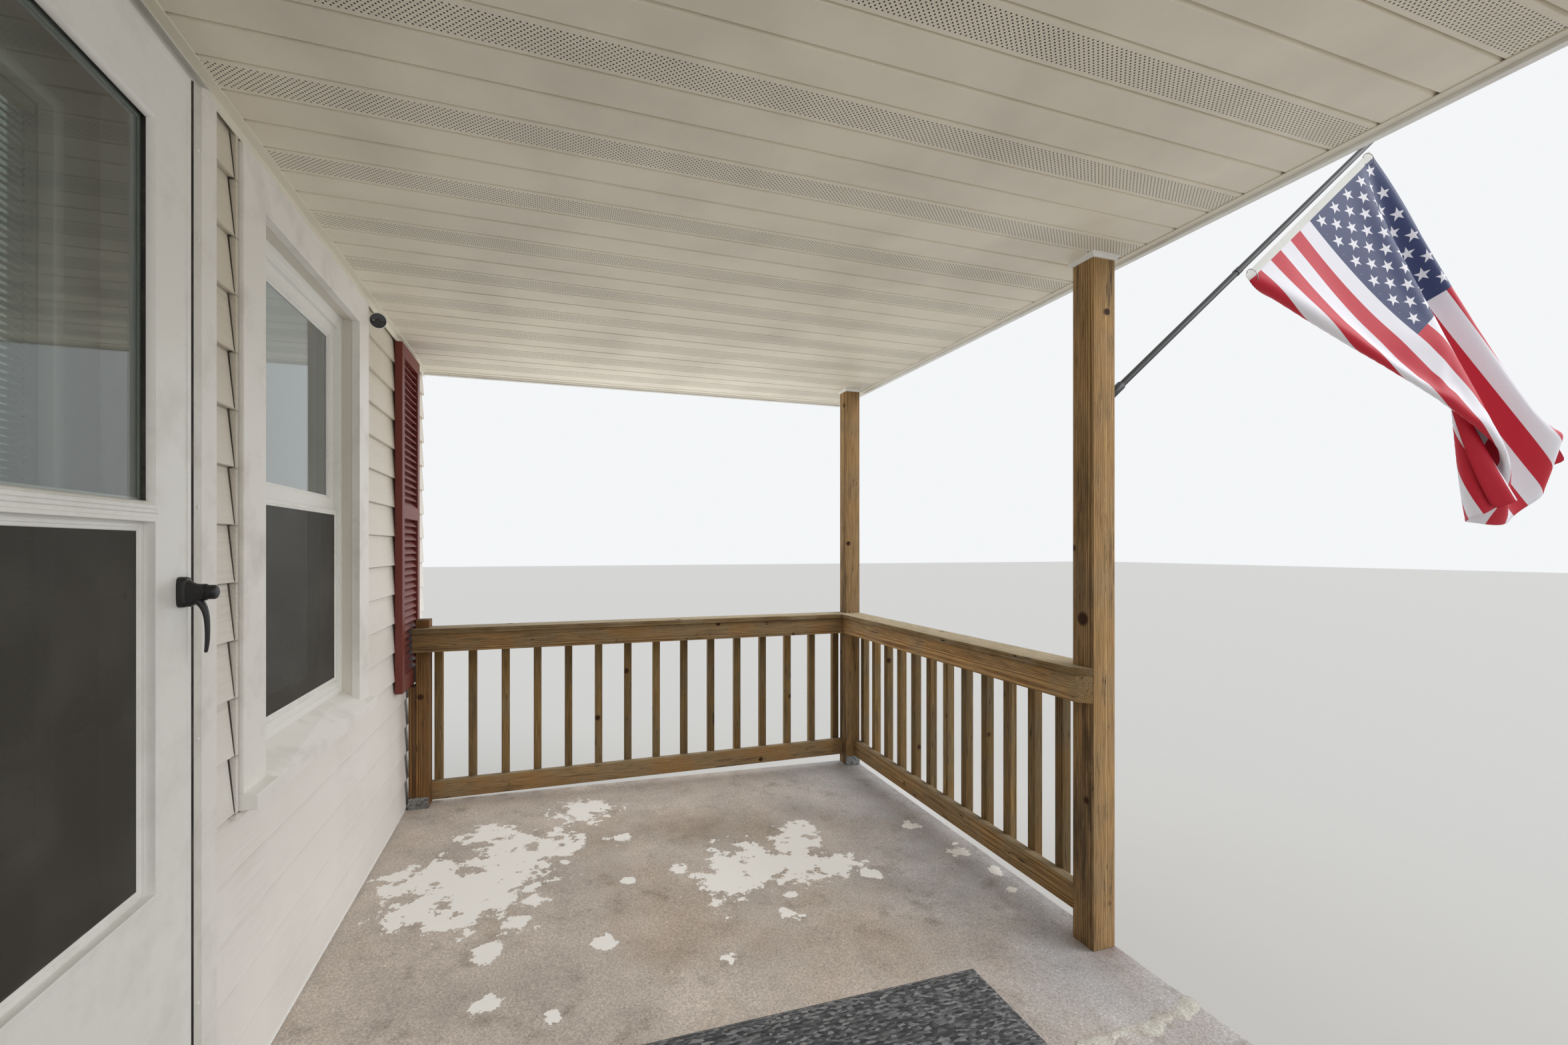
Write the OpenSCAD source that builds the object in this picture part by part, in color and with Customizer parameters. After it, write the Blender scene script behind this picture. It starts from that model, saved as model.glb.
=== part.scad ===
// Front porch of a sided house: a concrete slab against the wall, square timber posts with
// a site-built railing, a vented vinyl ceiling under a low lean-to roof, and the piece of
// house wall behind it with its storm door, entry door, two windows and shutters.
// Millimetres. X runs along the wall, the street is towards -Y, and Z = 0 is the ground.
// The origin is the middle of the slab's underside.

/* [Plan] */
// Clear width between an entry post and the corner post beside it
bay_clear = 1817; // [1650:1:2200]
// Clear width between the two entry posts
entry_clear = 1126; // [1060:1:1500]
// Slab from the house wall to its street edge
slab_depth = 2435; // [2200:5:2800]
// Slab height above the ground at the street edge
slab_front_h = 290; // [200:5:400]
// How much the slab falls from the wall to the street edge
slab_fall = 39; // [20:1:60]
// From the storm door's top to the ceiling
head_room = 60; // [54:1:200]

/* [Posts and railing] */
// Side of the square timber posts
post_w = 89; // [85:1:100]
// From the slab's edge to the outer faces of the posts
post_setback = 15; // [8:1:30]
// From the wall to the short posts that end the railing
wall_post_gap = 23; // [18:1:40]
// Thickness of the rails
rail_t = 38; // [32:1:42]
// Height of the rails, which stand on edge
rail_w = 89; // [80:1:100]
// Thickness of the cap board
cap_t = 25; // [20:1:32]
// How far the cap board stands past the inner rail
cap_lip = 13; // [8:1:20]
// Top of the cap above the slab's street edge
cap_top = 914; // [860:1:1000]
// From the slab's street edge up to the bottom rail
rail_gap = 58; // [50:1:90]
// From the wall to the end of the inner rail and its cap
rail_wall_gap = 45; // [40:1:60]
// Side of the square balusters
baluster_w = 38; // [32:1:42]
// Spacing of the balusters along the street side
front_pitch = 147; // [120:0.5:150]
// Spacing of the balusters at the porch ends
end_pitch = 154.5; // [120:0.5:156]
// From the corner post to the middle of the first street-side baluster
front_first = 36; // [26:1:60]
// From the wall post to the middle of the first end baluster
end_first = 28; // [24:1:60]

/* [Wall] */
// Thickness of the house wall behind the siding
wall_t = 140; // [130:1:180]
// Exposed height of one siding course
course_h = 130.2; // [100:0.1:160]
// How far the butt of a course stands out
siding_t = 14; // [10:1:16]
// Thickness of the window casings
casing_t = 25; // [20:1:32]
// Width of the window casings
casing_w = 122; // [90:1:130]
// From the door's centre line to the centre of each window
window_x = 1241; // [1200:1:1300]
// Clear width between the window's side casings
window_w = 806; // [700:1:820]
// Underside of the window's head casing above the slab's street edge
window_top = 2125; // [2050:1:2130]
// Underside of the upper sash above the slab's street edge
meeting_up = 1435; // [1400:1:1480]
// Front edge of the window sill above the slab's street edge
window_sill_h = 742; // [700:1:800]
// How far the window sills stand out from the wall
sill_reach = 52; // [40:1:60]
// Width of a shutter
shutter_w = 390; // [340:1:400]
// Height of a shutter
shutter_h = 1586; // [1500:1:1600]
// Thickness of a shutter
shutter_t = 30; // [24:1:34]
// From a shutter's far edge to the end of the wall
shutter_inset = 293; // [260:1:320]
// Spacing of the shutter's louvers
louver_pitch = 32; // [26:1:40]

/* [Doors] */
// Width of the storm door
storm_w = 908; // [860:1:914]
// How much taller the storm door is than the entry door
storm_over = 13; // [8:1:20]
// Thickness of the storm door
storm_t = 32; // [28:1:34]
// Underside of the storm door above the slab's street edge
storm_bottom = 153; // [130:1:156]
// Thickness of the door casing
door_casing_t = 32; // [28:1:36]
// Width of the door casing
door_casing_w = 112; // [100:1:116]
// Thickness of the entry door
entry_t = 44; // [40:1:46]
// Height of the entry door
entry_h = 2032; // [1980:1:2034]
// Clearance round the moving doors
door_gap = 6.5; // [6:0.5:8]
// From the storm door's underside up to its lower opening
storm_kick = 549; // [500:1:600]
// From the storm door's underside up to the bar between its openings
storm_bar = 1195; // [1100:1:1250]
// From the storm door's underside up to its handle's button
handle_up = 1067; // [1000:1:1090]
// From the entry door's underside up to its glass
lite_up = 676; // [600:1:760]
// From the entry door's glass up to the door's top
lite_down = 153; // [120:1:200]
// From the entry door's underside up to its knob
knob_up = 857; // [800:1:900]

/* [Roof] */
// From the corner posts' outer faces to the roof's ends
end_overhang = 363; // [330:1:450]
// Width of one soffit panel, which has three strips
panel_w = 307.5; // [290:0.5:320]
// Depth of the grooves in the soffit
groove_d = 9; // [5:1:10]
// From the posts' outer faces to the fascia's outer face
eave = 76; // [60:1:120]
// Rise of the roof for each millimetre of depth
roof_pitch = 0.1667; // [0.12:0.005:0.25]
// Depth of the rafters
rafter_h = 89; // [85:1:140]
// Height of the header beam over the posts
beam_h = 120; // [100:1:160]
// Exposed length of one shingle course
shingle_h = 143; // [120:1:160]

/* [Flag] */
// Length of the flag pole
pole_len = 1800; // [1500:10:1850]
// Radius of the flag pole
pole_r = 11; // [9:0.5:14]
// Angle of the pole above level
pole_angle = 40; // [35:1:45]
// Height of the pole's foot above the slab's street edge
pole_foot_h = 1811; // [1700:1:1850]

/* [Hidden] */
$fn = 48;
eps = 0.5;
seam = 3;
wall_y = slab_depth / 2;
front_y = -slab_depth / 2;
inner_y = wall_y + wall_t;
base_z = slab_front_h;
slab_back_h = slab_front_h + slab_fall;
entry_x = entry_clear / 2;
corner_x = entry_x + post_w + bay_clear;
slab_x = corner_x + post_w + post_setback;
roof_x = corner_x + post_w + end_overhang;
post_y = front_y + post_setback;
post_in_y = post_y + post_w;
wall_post_y = wall_y - wall_post_gap - post_w;
storm_h = entry_h + storm_over;
ceiling_z = base_z + storm_bottom + storm_h + head_room;

base_plate_t = 3;
base_strap_h = 55;
wall_post_rise = 38;
rail_top_z = base_z + cap_top - cap_t;
rail_low_z = base_z + rail_gap;
rail_end_y = wall_y - rail_wall_gap;
cap_reach = rail_t + cap_lip;

soffit_t = groove_d + 3;
beam_z = ceiling_z + soffit_t + 5;
beam_w = 2 * rail_t;
beam_y = post_y + (post_w - beam_w) / 2;
rafter_t = 38;
rafter_count = 11;
deck_t = 12;
shingle_t = 10;
shingle_lip = 12;
fascia_t = 20;
fascia_y = post_y - eave;
fascia_drop = 11;
soffit_y = fascia_y + fascia_t;
soffit_x = roof_x - fascia_t;
trim_t = 3;
trim_w = 25;
casing_top_z = ceiling_z - trim_w - 2;

casing_half = window_w / 2 + casing_w;
window_sill_z = base_z + window_sill_h;
window_top_z = base_z + window_top;
window_low_z = window_sill_z + 48;
sill_front_h = 40;
frame_y = wall_y + 33;
frame_t = 42;
frame_d = 72;
frame_x0 = window_x - window_w / 2;
frame_x1 = window_x + window_w / 2;
sash_t = 24;
sash_w = 40;
sash_x0 = frame_x0 + frame_t;
sash_x1 = frame_x1 - frame_t;
sash_low_z = window_low_z + frame_t;
sash_top_z = window_top_z - frame_t;
upper_sash_y = frame_y + 12;
lower_sash_y = upper_sash_y + sash_t + 2;
pane_t = 5;
meeting_z = base_z + meeting_up;
meeting_h = 40;
screen_t = 8;
screen_w = 16;
mesh_t = 1.5;
bead_w = 14;
bead_t = 2;
channel_w = 12;
channel_t = 2;
camera_drop = 74;

shutter_y = wall_y - siding_t - shutter_t;
shutter_x = roof_x - shutter_inset - shutter_w;
shutter_z = casing_top_z - shutter_h;

zbar_t = 3;
zbar_w = 43;
stop_w = 15;
storm_half = storm_w / 2;
storm_z = base_z + storm_bottom;
storm_open = storm_half + door_gap + zbar_t;
storm_stop_x = storm_half + door_gap - stop_w;
storm_top_z = storm_z + storm_h + door_gap + zbar_t;
storm_proud = 5;
storm_y = wall_y - door_casing_t - zbar_t - storm_proud;
storm_stile = 125;
storm_top_rail = 148;
storm_kick_z = storm_z + storm_kick;
storm_bar_z = storm_z + storm_bar;
storm_bar_h = 29;
door_casing_x = storm_open + door_casing_w;
sill_top_z = storm_z - door_gap;

jamb_t = 30;
jamb_stop_w = 24;
entry_half = storm_half - 1;
jamb_x = entry_half + door_gap;
rough_x = jamb_x + jamb_t;
entry_z = sill_top_z + door_gap;
jamb_top_z = entry_z + entry_h + door_gap;
rough_top_z = jamb_top_z + jamb_t;
entry_y = inner_y - entry_t;
lite_half = 318;
lite_low_z = entry_z + lite_up;
lite_top_z = entry_z + entry_h - lite_down;
lite_t = 22;

hinge_r = 5;
hinge_pin_r = 2.5;
hinge_fit = 0.1;
hinge_h = 75;
hinge_knuckle = hinge_h / 3;
hinge_run = 0.3;
hinge_leaf = 28;
hinge_plate_t = 2;
hinge_offset = 180;
storm_pin_x = -storm_half - door_gap / 2;
storm_pin_y = storm_y - hinge_r;
entry_pin_x = -entry_half - door_gap / 2;
entry_pin_y = inner_y + hinge_r;

handle_x = storm_half - 37;
handle_z = storm_z + handle_up;
handle_reach = 40;
handle_y = storm_y - handle_reach;
button_r = 13.5;
button_fit = 0.1;
button_travel = 5;
button_seat = 22;

siding_low_z = slab_back_h + 14;
siding_top_z = ceiling_z - 2;

flag_post_x = entry_x + post_w / 2;
bracket_t = 4;
pole_foot_y = post_y - bracket_t - 22;
pole_foot_z = base_z + pole_foot_h;
flag_gap = 0.3;
flag_hoist = 914;
flag_fly = 1524;
flag_low = pole_len - 84 - flag_hoist;
flag_swing = 9;

// Height of the slab's sloping top at a depth y
function slab_z(y) = slab_front_h + slab_fall * (y - front_y) / slab_depth;

// Underside of the rafters at a depth y, which meets the beam's top at its inner edge
function rafter_z(y) = beam_z + beam_h + roof_pitch * (y - beam_y - beam_w);

// Upright height of a board of thickness t laid on the roof's slope
function on_slope(t) = t * sqrt(1 + roof_pitch * roof_pitch);

// The children and their mirror image on the other side of the door
module pair() {
    children();
    mirror([1, 0, 0]) children();
}

// A box from its lowest to its highest corner
module box(low, high) {
    translate(low) cube(high - low);
}

// A side profile in depth and height, carried along the wall from x0 to x1
module along_wall(x0, x1) {
    translate([x0, 0, 0]) rotate([90, 0, 90]) linear_extrude(x1 - x0) children();
}

// A front profile in x and height, carried in depth from y0 to y1
module through_wall(y0, y1) {
    translate([0, y1, 0]) rotate([90, 0, 0]) linear_extrude(y1 - y0) children();
}

// A plan outline raised from z0 to z1
module upright(z0, z1) {
    translate([0, 0, z0]) linear_extrude(z1 - z0) children();
}

module porch_slab() {
    nose = 12;
    color("darkgray") along_wall(-slab_x, slab_x) polygon([
        [front_y, 0], [wall_y, 0], [wall_y, slab_back_h],
        [front_y + nose, slab_z(front_y + nose)],
        [front_y + nose * 0.3, slab_front_h - nose * 0.3],
        [front_y, slab_front_h - nose]
    ]);
}

module house_foundation() {
    color("gray") box([-roof_x, wall_y, 0], [roof_x, inner_y, slab_back_h]);
}

// The wall's section, with a sloping top that the rafters rest on
module wall_section(z0) {
    polygon([
        [wall_y, z0], [inner_y, z0],
        [inner_y, rafter_z(inner_y)], [wall_y, rafter_z(wall_y)]
    ]);
}

module house_wall_right() {
    color("wheat") difference() {
        along_wall(rough_x, roof_x) wall_section(slab_back_h);
        box([frame_x0, wall_y - eps, window_sill_z], [frame_x1, inner_y + eps, window_top_z]);
    }
}

module house_wall_left() {
    mirror([1, 0, 0]) house_wall_right();
}

module house_wall_over_door() {
    color("wheat") along_wall(-rough_x, rough_x) wall_section(rough_top_z);
}

// Lapped courses: each leans out from its top to the butt at its foot, which has a soft lip
module siding_section() {
    courses = ceil((siding_top_z - siding_low_z) / course_h);
    thin = 3;
    lip = 3;
    out = [siding_t - lip, siding_t, siding_t - 1, thin];
    up = [0, 1, lip + 4, course_h];
    intersection() {
        polygon(concat(
            [[wall_y, siding_low_z]],
            [for (i = [0:courses - 1], k = [0:3])
                [wall_y - out[k], siding_low_z + i * course_h + up[k]]],
            [[wall_y, siding_low_z + courses * course_h]]
        ));
        translate([wall_y - siding_t, siding_low_z])
            square([siding_t, siding_top_z - siding_low_z]);
    }
}

// A channel that the courses run into, between two corners in x and height
module siding_channel(x0, z0, x1, z1) {
    box([x0, wall_y - siding_t - channel_t, z0], [x1, wall_y, z1]);
}

module wall_siding() {
    door_x = door_casing_x + seam;
    notch_x0 = window_x - casing_half - seam;
    notch_x1 = window_x + casing_half + seam;
    notch_z = window_sill_z - sill_front_h - seam;
    low_z = notch_z - channel_w;
    color("cornsilk") pair() {
        difference() {
            along_wall(door_x, roof_x) siding_section();
            box([notch_x0, wall_y - siding_t - eps, notch_z],
                [notch_x1, wall_y + eps, siding_top_z + eps]);
        }
        siding_channel(door_x, siding_low_z, door_x + channel_w, siding_top_z);
        siding_channel(notch_x0 - channel_w, low_z, notch_x0, siding_top_z);
        siding_channel(notch_x1, low_z, notch_x1 + channel_w, siding_top_z);
        siding_channel(notch_x0 - eps, low_z, notch_x1 + eps, notch_z);
    }
}

module wall_base_flashing() {
    foot = 12;
    color("white") pair() along_wall(door_casing_x + seam, roof_x) polygon([
        [wall_y, slab_back_h], [wall_y, siding_low_z],
        [wall_y - 4, siding_low_z], [wall_y - 4, slab_back_h + 6],
        [wall_y - foot, slab_back_h]
    ]);
}

// One upright post between two heights, from its lowest corner at x, y
module post(x, y, z0, z1) {
    box([x, y, z0], [x + post_w, y + post_w, z1]);
}

module porch_posts() {
    color("tan") pair() {
        post(entry_x, post_y, slab_z(post_in_y), beam_z);
        post(corner_x, post_y, slab_z(post_in_y) + base_plate_t, beam_z);
    }
}

// The posts at the wall stop just above the cap and are notched round the shutter
module wall_posts() {
    clear = 9;
    notch = siding_t + shutter_t + clear - wall_post_gap;
    foot_z = slab_z(wall_post_y + post_w) + base_plate_t;
    top_z = base_z + cap_top + wall_post_rise;
    color("tan") pair() difference() {
        post(corner_x, wall_post_y, foot_z, top_z);
        box([corner_x - eps, wall_post_y + post_w - notch, shutter_z - 14],
            [corner_x + post_w + eps, wall_post_y + post_w + eps, top_z + eps]);
    }
}

// A folded plate under a post with a strap up two of its faces
module post_base(x, y) {
    z = slab_z(y + post_w);
    box([x - base_plate_t, y, z], [x + post_w + base_plate_t, y + post_w, z + base_plate_t]);
    for (side = [x - base_plate_t, x + post_w])
        box([side, y, z], [side + base_plate_t, y + post_w, z + base_strap_h]);
}

module post_bases() {
    color("dimgray") pair() for (y = [post_y, wall_post_y]) post_base(corner_x, y);
}

module post_collars() {
    collar_w = 10;
    collar_h = 9;
    color("white") pair() for (x = [entry_x, corner_x]) difference() {
        for (step = [1, 2]) {
            w = collar_w / step;
            box([x - w, post_y - w, ceiling_z - collar_h * step],
                [x + post_w + w, post_in_y + w, ceiling_z]);
        }
        post(x, post_y, ceiling_z - 2 * collar_h - eps, ceiling_z + eps);
    }
}

// The inner top rail is nailed across the posts' inner faces, with a bevelled entry end
module front_inner_rails() {
    color("peru") pair() upright(rail_top_z - rail_w, rail_top_z) polygon([
        [entry_x, post_in_y], [corner_x, post_in_y],
        [corner_x - rail_t, post_in_y + rail_t], [entry_x + rail_t, post_in_y + rail_t]
    ]);
}

module end_inner_rails() {
    color("peru") pair() upright(rail_top_z - rail_w, rail_top_z) polygon([
        [corner_x, post_in_y], [corner_x, rail_end_y],
        [corner_x - rail_t, rail_end_y], [corner_x - rail_t, post_in_y + rail_t]
    ]);
}

// Rails between the posts, flush with their outer faces, from height z up
module outer_rails(z) {
    pair() {
        box([entry_x + post_w, post_y, z], [corner_x, post_y + rail_t, z + rail_w]);
        box([corner_x + post_w - rail_t, post_in_y, z], [corner_x + post_w, wall_post_y, z + rail_w]);
    }
}

module outer_top_rails() {
    color("peru") outer_rails(rail_top_z - rail_w);
}

module bottom_rails() {
    color("peru") outer_rails(rail_low_z);
}

// The cap lies on both top rails, runs past the posts on the inside and is mitred
module front_rail_caps() {
    cap_y = post_in_y + cap_reach;
    color("burlywood") pair() upright(rail_top_z, rail_top_z + cap_t) polygon([
        [entry_x + post_w, post_y], [corner_x, post_y], [corner_x, post_in_y],
        [corner_x - cap_reach, cap_y], [entry_x + cap_reach, cap_y],
        [entry_x, post_in_y], [entry_x + post_w, post_in_y]
    ]);
}

module end_rail_caps() {
    cap_x = corner_x - cap_reach;
    color("burlywood") pair() upright(rail_top_z, rail_top_z + cap_t) polygon([
        [corner_x, post_in_y], [corner_x + post_w, post_in_y],
        [corner_x + post_w, wall_post_y], [corner_x, wall_post_y],
        [corner_x, rail_end_y], [cap_x, rail_end_y], [cap_x, post_in_y + cap_reach]
    ]);
}

// A baluster centred on x, y, nailed to the outer rails
module baluster(x, y) {
    box([x - baluster_w / 2, y - baluster_w / 2, rail_low_z],
        [x + baluster_w / 2, y + baluster_w / 2, rail_top_z]);
}

module front_balusters() {
    count = floor((bay_clear - front_first - baluster_w / 2) / front_pitch) + 1;
    color("sandybrown") pair() for (i = [0:count - 1])
        baluster(corner_x - front_first - i * front_pitch, post_y - baluster_w / 2);
}

module end_balusters() {
    run = wall_post_y - post_in_y;
    count = floor((run - end_first - baluster_w / 2) / end_pitch) + 1;
    color("sandybrown") pair() for (i = [0:count - 1])
        baluster(corner_x + post_w + baluster_w / 2, wall_post_y - end_first - i * end_pitch);
}

// The soffit's front profile: three strips to a panel, with a narrow groove between
// strips and a wider one at each joint between panels
module soffit_section() {
    strip = panel_w / 3;
    joint_x = 60;
    n0 = ceil((-soffit_x - joint_x + 8) / strip);
    n1 = floor((soffit_x - joint_x - 8) / strip);
    polygon(concat(
        [[-soffit_x, ceiling_z + soffit_t], [-soffit_x, ceiling_z]],
        [for (n = [n0:n1], k = [-1, 0, 1])
            [joint_x + n * strip + k * (n % 3 == 0 ? 6 : 4), ceiling_z + (k == 0 ? groove_d : 0)]],
        [[soffit_x, ceiling_z], [soffit_x, ceiling_z + soffit_t]]
    ));
}

module soffit_ceiling() {
    color("ivory") difference() {
        through_wall(soffit_y, wall_y) soffit_section();
        pair() for (x = [entry_x, corner_x])
            post(x, post_y, ceiling_z - eps, ceiling_z + soffit_t + eps);
    }
}

// A channel along the wall and flat strips along the other three edges
module soffit_trim() {
    back_y = wall_y - siding_t - 2;
    color("ivory") {
        along_wall(-soffit_x, soffit_x) polygon([
            [back_y, ceiling_z], [back_y - trim_w, ceiling_z],
            [back_y - trim_w, ceiling_z - trim_t], [back_y - trim_t, ceiling_z - trim_t],
            [back_y - trim_t, ceiling_z - trim_w], [back_y, ceiling_z - trim_w]
        ]);
        upright(ceiling_z - trim_t, ceiling_z) difference() {
            translate([-soffit_x, soffit_y]) square([2 * soffit_x, back_y - soffit_y]);
            translate([-soffit_x + trim_w, soffit_y + trim_w])
                square([2 * (soffit_x - trim_w), back_y - soffit_y - 2 * trim_w]);
        }
    }
}

module header_beam() {
    color("burlywood") box([-corner_x - post_w, beam_y, beam_z],
        [corner_x + post_w, beam_y + beam_w, beam_z + beam_h]);
}

// A band along the roof's slope between two heights above the rafters' underside
module slope_section(y0, y1, low, high) {
    polygon([
        [y0, rafter_z(y0) + low], [y1, rafter_z(y1) + low],
        [y1, rafter_z(y1) + high], [y0, rafter_z(y0) + high]
    ]);
}

// Rafters with a level seat cut over the beam
module roof_rafters() {
    span = 2 * soffit_x - rafter_t;
    color("burlywood") for (i = [0:rafter_count - 1]) {
        x = -soffit_x + i * span / (rafter_count - 1);
        along_wall(x, x + rafter_t) difference() {
            slope_section(soffit_y, inner_y, 0, on_slope(rafter_h));
            translate([beam_y, beam_z]) square([beam_w, beam_h]);
        }
    }
}

module roof_deck() {
    color("tan") along_wall(-roof_x, roof_x)
        slope_section(fascia_y, inner_y, on_slope(rafter_h), on_slope(rafter_h + deck_t));
}

// Shingle courses, each thick at its lower edge and thin under the next one
module roof_shingles() {
    y0 = fascia_y - shingle_lip;
    under = on_slope(rafter_h + deck_t);
    courses = ceil((inner_y - y0) / shingle_h);
    color("dimgray") along_wall(-roof_x - shingle_lip, roof_x + shingle_lip) polygon(concat(
        [[inner_y, rafter_z(inner_y) + under], [y0, rafter_z(y0) + under]],
        [for (i = [0:courses - 1], k = [0, 1])
            let (y = min(y0 + (i + k) * shingle_h, inner_y))
            [y, rafter_z(y) + under + (k == 0 ? shingle_t : shingle_t / 2)]]
    ));
}

module front_fascia() {
    color("white") along_wall(-roof_x, roof_x) polygon([
        [fascia_y, ceiling_z - fascia_drop], [soffit_y, ceiling_z - fascia_drop],
        [soffit_y, rafter_z(soffit_y) + on_slope(rafter_h)],
        [fascia_y, rafter_z(fascia_y) + on_slope(rafter_h)]
    ]);
}

// The boards that close the roof's ends, cut round the siding at the wall
module roof_end_boards() {
    low_z = ceiling_z - fascia_drop;
    siding_y = wall_y - siding_t - 1;
    color("white") pair() along_wall(soffit_x, roof_x) polygon([
        [soffit_y, low_z], [siding_y, low_z], [siding_y, ceiling_z], [wall_y, ceiling_z],
        [wall_y, rafter_z(wall_y) + on_slope(rafter_h)],
        [soffit_y, rafter_z(soffit_y) + on_slope(rafter_h)]
    ]);
}

module door_casing_sides() {
    color("white") pair() box([storm_open, wall_y - door_casing_t, slab_back_h],
        [door_casing_x, wall_y, storm_top_z]);
}

module door_casing_head() {
    color("white") box([-door_casing_x, wall_y - door_casing_t, storm_top_z],
        [door_casing_x, wall_y, casing_top_z]);
}

// A sill that fills the wall's opening and slopes out under the storm door
module door_sill() {
    nose_y = wall_y - door_casing_t - 20;
    fall = 14;
    step_y = (wall_y - storm_proud - nose_y) / 5;
    color("silver") {
        difference() {
            along_wall(-storm_open, storm_open) polygon([
                [nose_y, slab_back_h], [wall_y + eps, slab_back_h], [wall_y + eps, sill_top_z],
                [wall_y - storm_proud, sill_top_z], [nose_y, sill_top_z - fall]
            ]);
            for (i = [1:4]) translate([-storm_open - eps, nose_y + i * step_y,
                sill_top_z - fall * (1 - i / 5)]) rotate([0, 90, 0])
                cylinder(h = 2 * storm_open + 1, r = 2);
        }
        box([-rough_x, wall_y, slab_back_h], [rough_x, inner_y, sill_top_z]);
    }
}

// Jambs with the stop that the entry door closes on
module entry_jambs() {
    stop_x = jamb_x - jamb_stop_w;
    color("white") pair() upright(sill_top_z, jamb_top_z) polygon([
        [stop_x, wall_y], [rough_x, wall_y], [rough_x, inner_y],
        [jamb_x, inner_y], [jamb_x, entry_y - door_gap], [stop_x, entry_y - door_gap]
    ]);
}

module entry_jamb_head() {
    stop_x = jamb_x - jamb_stop_w;
    color("white") {
        box([-rough_x, wall_y, jamb_top_z], [rough_x, inner_y, rough_top_z]);
        box([-stop_x, wall_y, jamb_top_z - jamb_stop_w], [stop_x, entry_y - door_gap, jamb_top_z + eps]);
    }
}

// Z-shaped bars: a flange on the casing, a web along its edge and a stop behind the leaf
module storm_frame_sides() {
    face_y = wall_y - door_casing_t;
    color("white") pair() upright(sill_top_z, storm_top_z - zbar_t) polygon([
        [storm_open - zbar_t, face_y - zbar_t], [storm_open + zbar_w, face_y - zbar_t],
        [storm_open + zbar_w, face_y], [storm_open, face_y], [storm_open, wall_y],
        [storm_stop_x, wall_y], [storm_stop_x, wall_y - zbar_t],
        [storm_open - zbar_t, wall_y - zbar_t]
    ]);
}

// The head bar, with a stop behind the leaf and a drip cap turned out over the door
module storm_drip_cap() {
    face_y = wall_y - door_casing_t;
    low_z = storm_top_z - zbar_t;
    color("white") {
        along_wall(-storm_open - zbar_w, storm_open + zbar_w) polygon([
            [face_y, low_z], [face_y, storm_top_z + 12], [face_y - zbar_t, storm_top_z + 12],
            [face_y - 18, storm_top_z + 7], [face_y - 20, storm_top_z],
            [face_y - 18, storm_top_z], [face_y - 16, storm_top_z + 5],
            [face_y - zbar_t, storm_top_z + 9], [face_y - zbar_t, low_z]
        ]);
        box([-storm_open, face_y - zbar_t, low_z], [storm_open, wall_y, storm_top_z]);
        box([-storm_stop_x, wall_y - zbar_t, low_z - stop_w], [storm_stop_x, wall_y, low_z + eps]);
    }
}

// Places the children at each of a door's three hinges, from the door's underside
module each_hinge(pin_x, pin_y, z, h) {
    for (at = [hinge_offset, h / 2, h - hinge_offset])
        translate([pin_x, pin_y, z + at - hinge_h / 2]) children();
}

// The fixed end knuckles of a hinge with the pin through them
module fixed_knuckles() {
    for (z = [0, 2 * hinge_knuckle]) translate([0, 0, z]) cylinder(h = hinge_knuckle, r = hinge_r);
    cylinder(h = hinge_h, r = hinge_pin_r);
}

// The turning middle knuckle, bored for the pin and joined to the plate given as its child
module turning_knuckle() {
    difference() {
        union() {
            translate([0, 0, hinge_knuckle + hinge_run])
                cylinder(h = hinge_knuckle - 2 * hinge_run, r = hinge_r);
            children();
        }
        translate([0, 0, -1]) cylinder(h = hinge_h + 2, r = hinge_pin_r + hinge_fit);
    }
}

// A hinge plate from low to high in plan; beside its own knuckles it also fills near to far
module hinge_plate(low, high, near, far, own) {
    box([low[0], low[1], 0], [high[0], high[1], hinge_h]);
    for (z = own) box([near[0], near[1], z[0]], [far[0], far[1], z[1]]);
}

module door_hinge_pins() {
    ends = [[0, hinge_knuckle], [2 * hinge_knuckle, hinge_h]];
    step = hinge_r + storm_proud;
    side = door_gap / 2;
    color("silver") {
        each_hinge(storm_pin_x, storm_pin_y, storm_z, storm_h) {
            fixed_knuckles();
            hinge_plate([-hinge_leaf, step - hinge_plate_t], [-hinge_r - 2, step],
                [-hinge_r - 2 - eps, step - hinge_plate_t], [-1, step], ends);
            for (z = ends) box([-hinge_r, 0, z[0]], [-hinge_r + 3, step, z[1]]);
        }
        each_hinge(entry_pin_x, entry_pin_y, entry_z, entry_h) {
            fixed_knuckles();
            hinge_plate([-side, -hinge_leaf], [-side + hinge_plate_t, -hinge_r - 2],
                [-side, -hinge_r - 2 - eps], [-side + hinge_plate_t, 0], ends);
        }
    }
}

module storm_hinge_knuckles() {
    middle = [[hinge_knuckle + hinge_run, 2 * hinge_knuckle - hinge_run]];
    color("silver") each_hinge(storm_pin_x, storm_pin_y, storm_z, storm_h) turning_knuckle()
        hinge_plate([hinge_r + 2, hinge_r - hinge_plate_t], [hinge_leaf, hinge_r],
            [0, hinge_r - hinge_plate_t], [hinge_r + 2 + eps, hinge_r], middle);
}

module entry_hinge_knuckles() {
    side = door_gap / 2;
    middle = [[hinge_knuckle + hinge_run, 2 * hinge_knuckle - hinge_run]];
    color("silver") each_hinge(entry_pin_x, entry_pin_y, entry_z, entry_h) turning_knuckle()
        hinge_plate([side - hinge_plate_t, -hinge_leaf], [side, -hinge_r - 2],
            [side - hinge_plate_t, -hinge_r - 2 - eps], [side, 0], middle);
}

module window_casings() {
    color("white") pair() difference() {
        box([window_x - casing_half, wall_y - casing_t, window_sill_z],
            [window_x + casing_half, wall_y, casing_top_z]);
        box([frame_x0, wall_y - casing_t - eps, window_sill_z - eps],
            [frame_x1, wall_y + eps, window_top_z]);
    }
}

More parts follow.
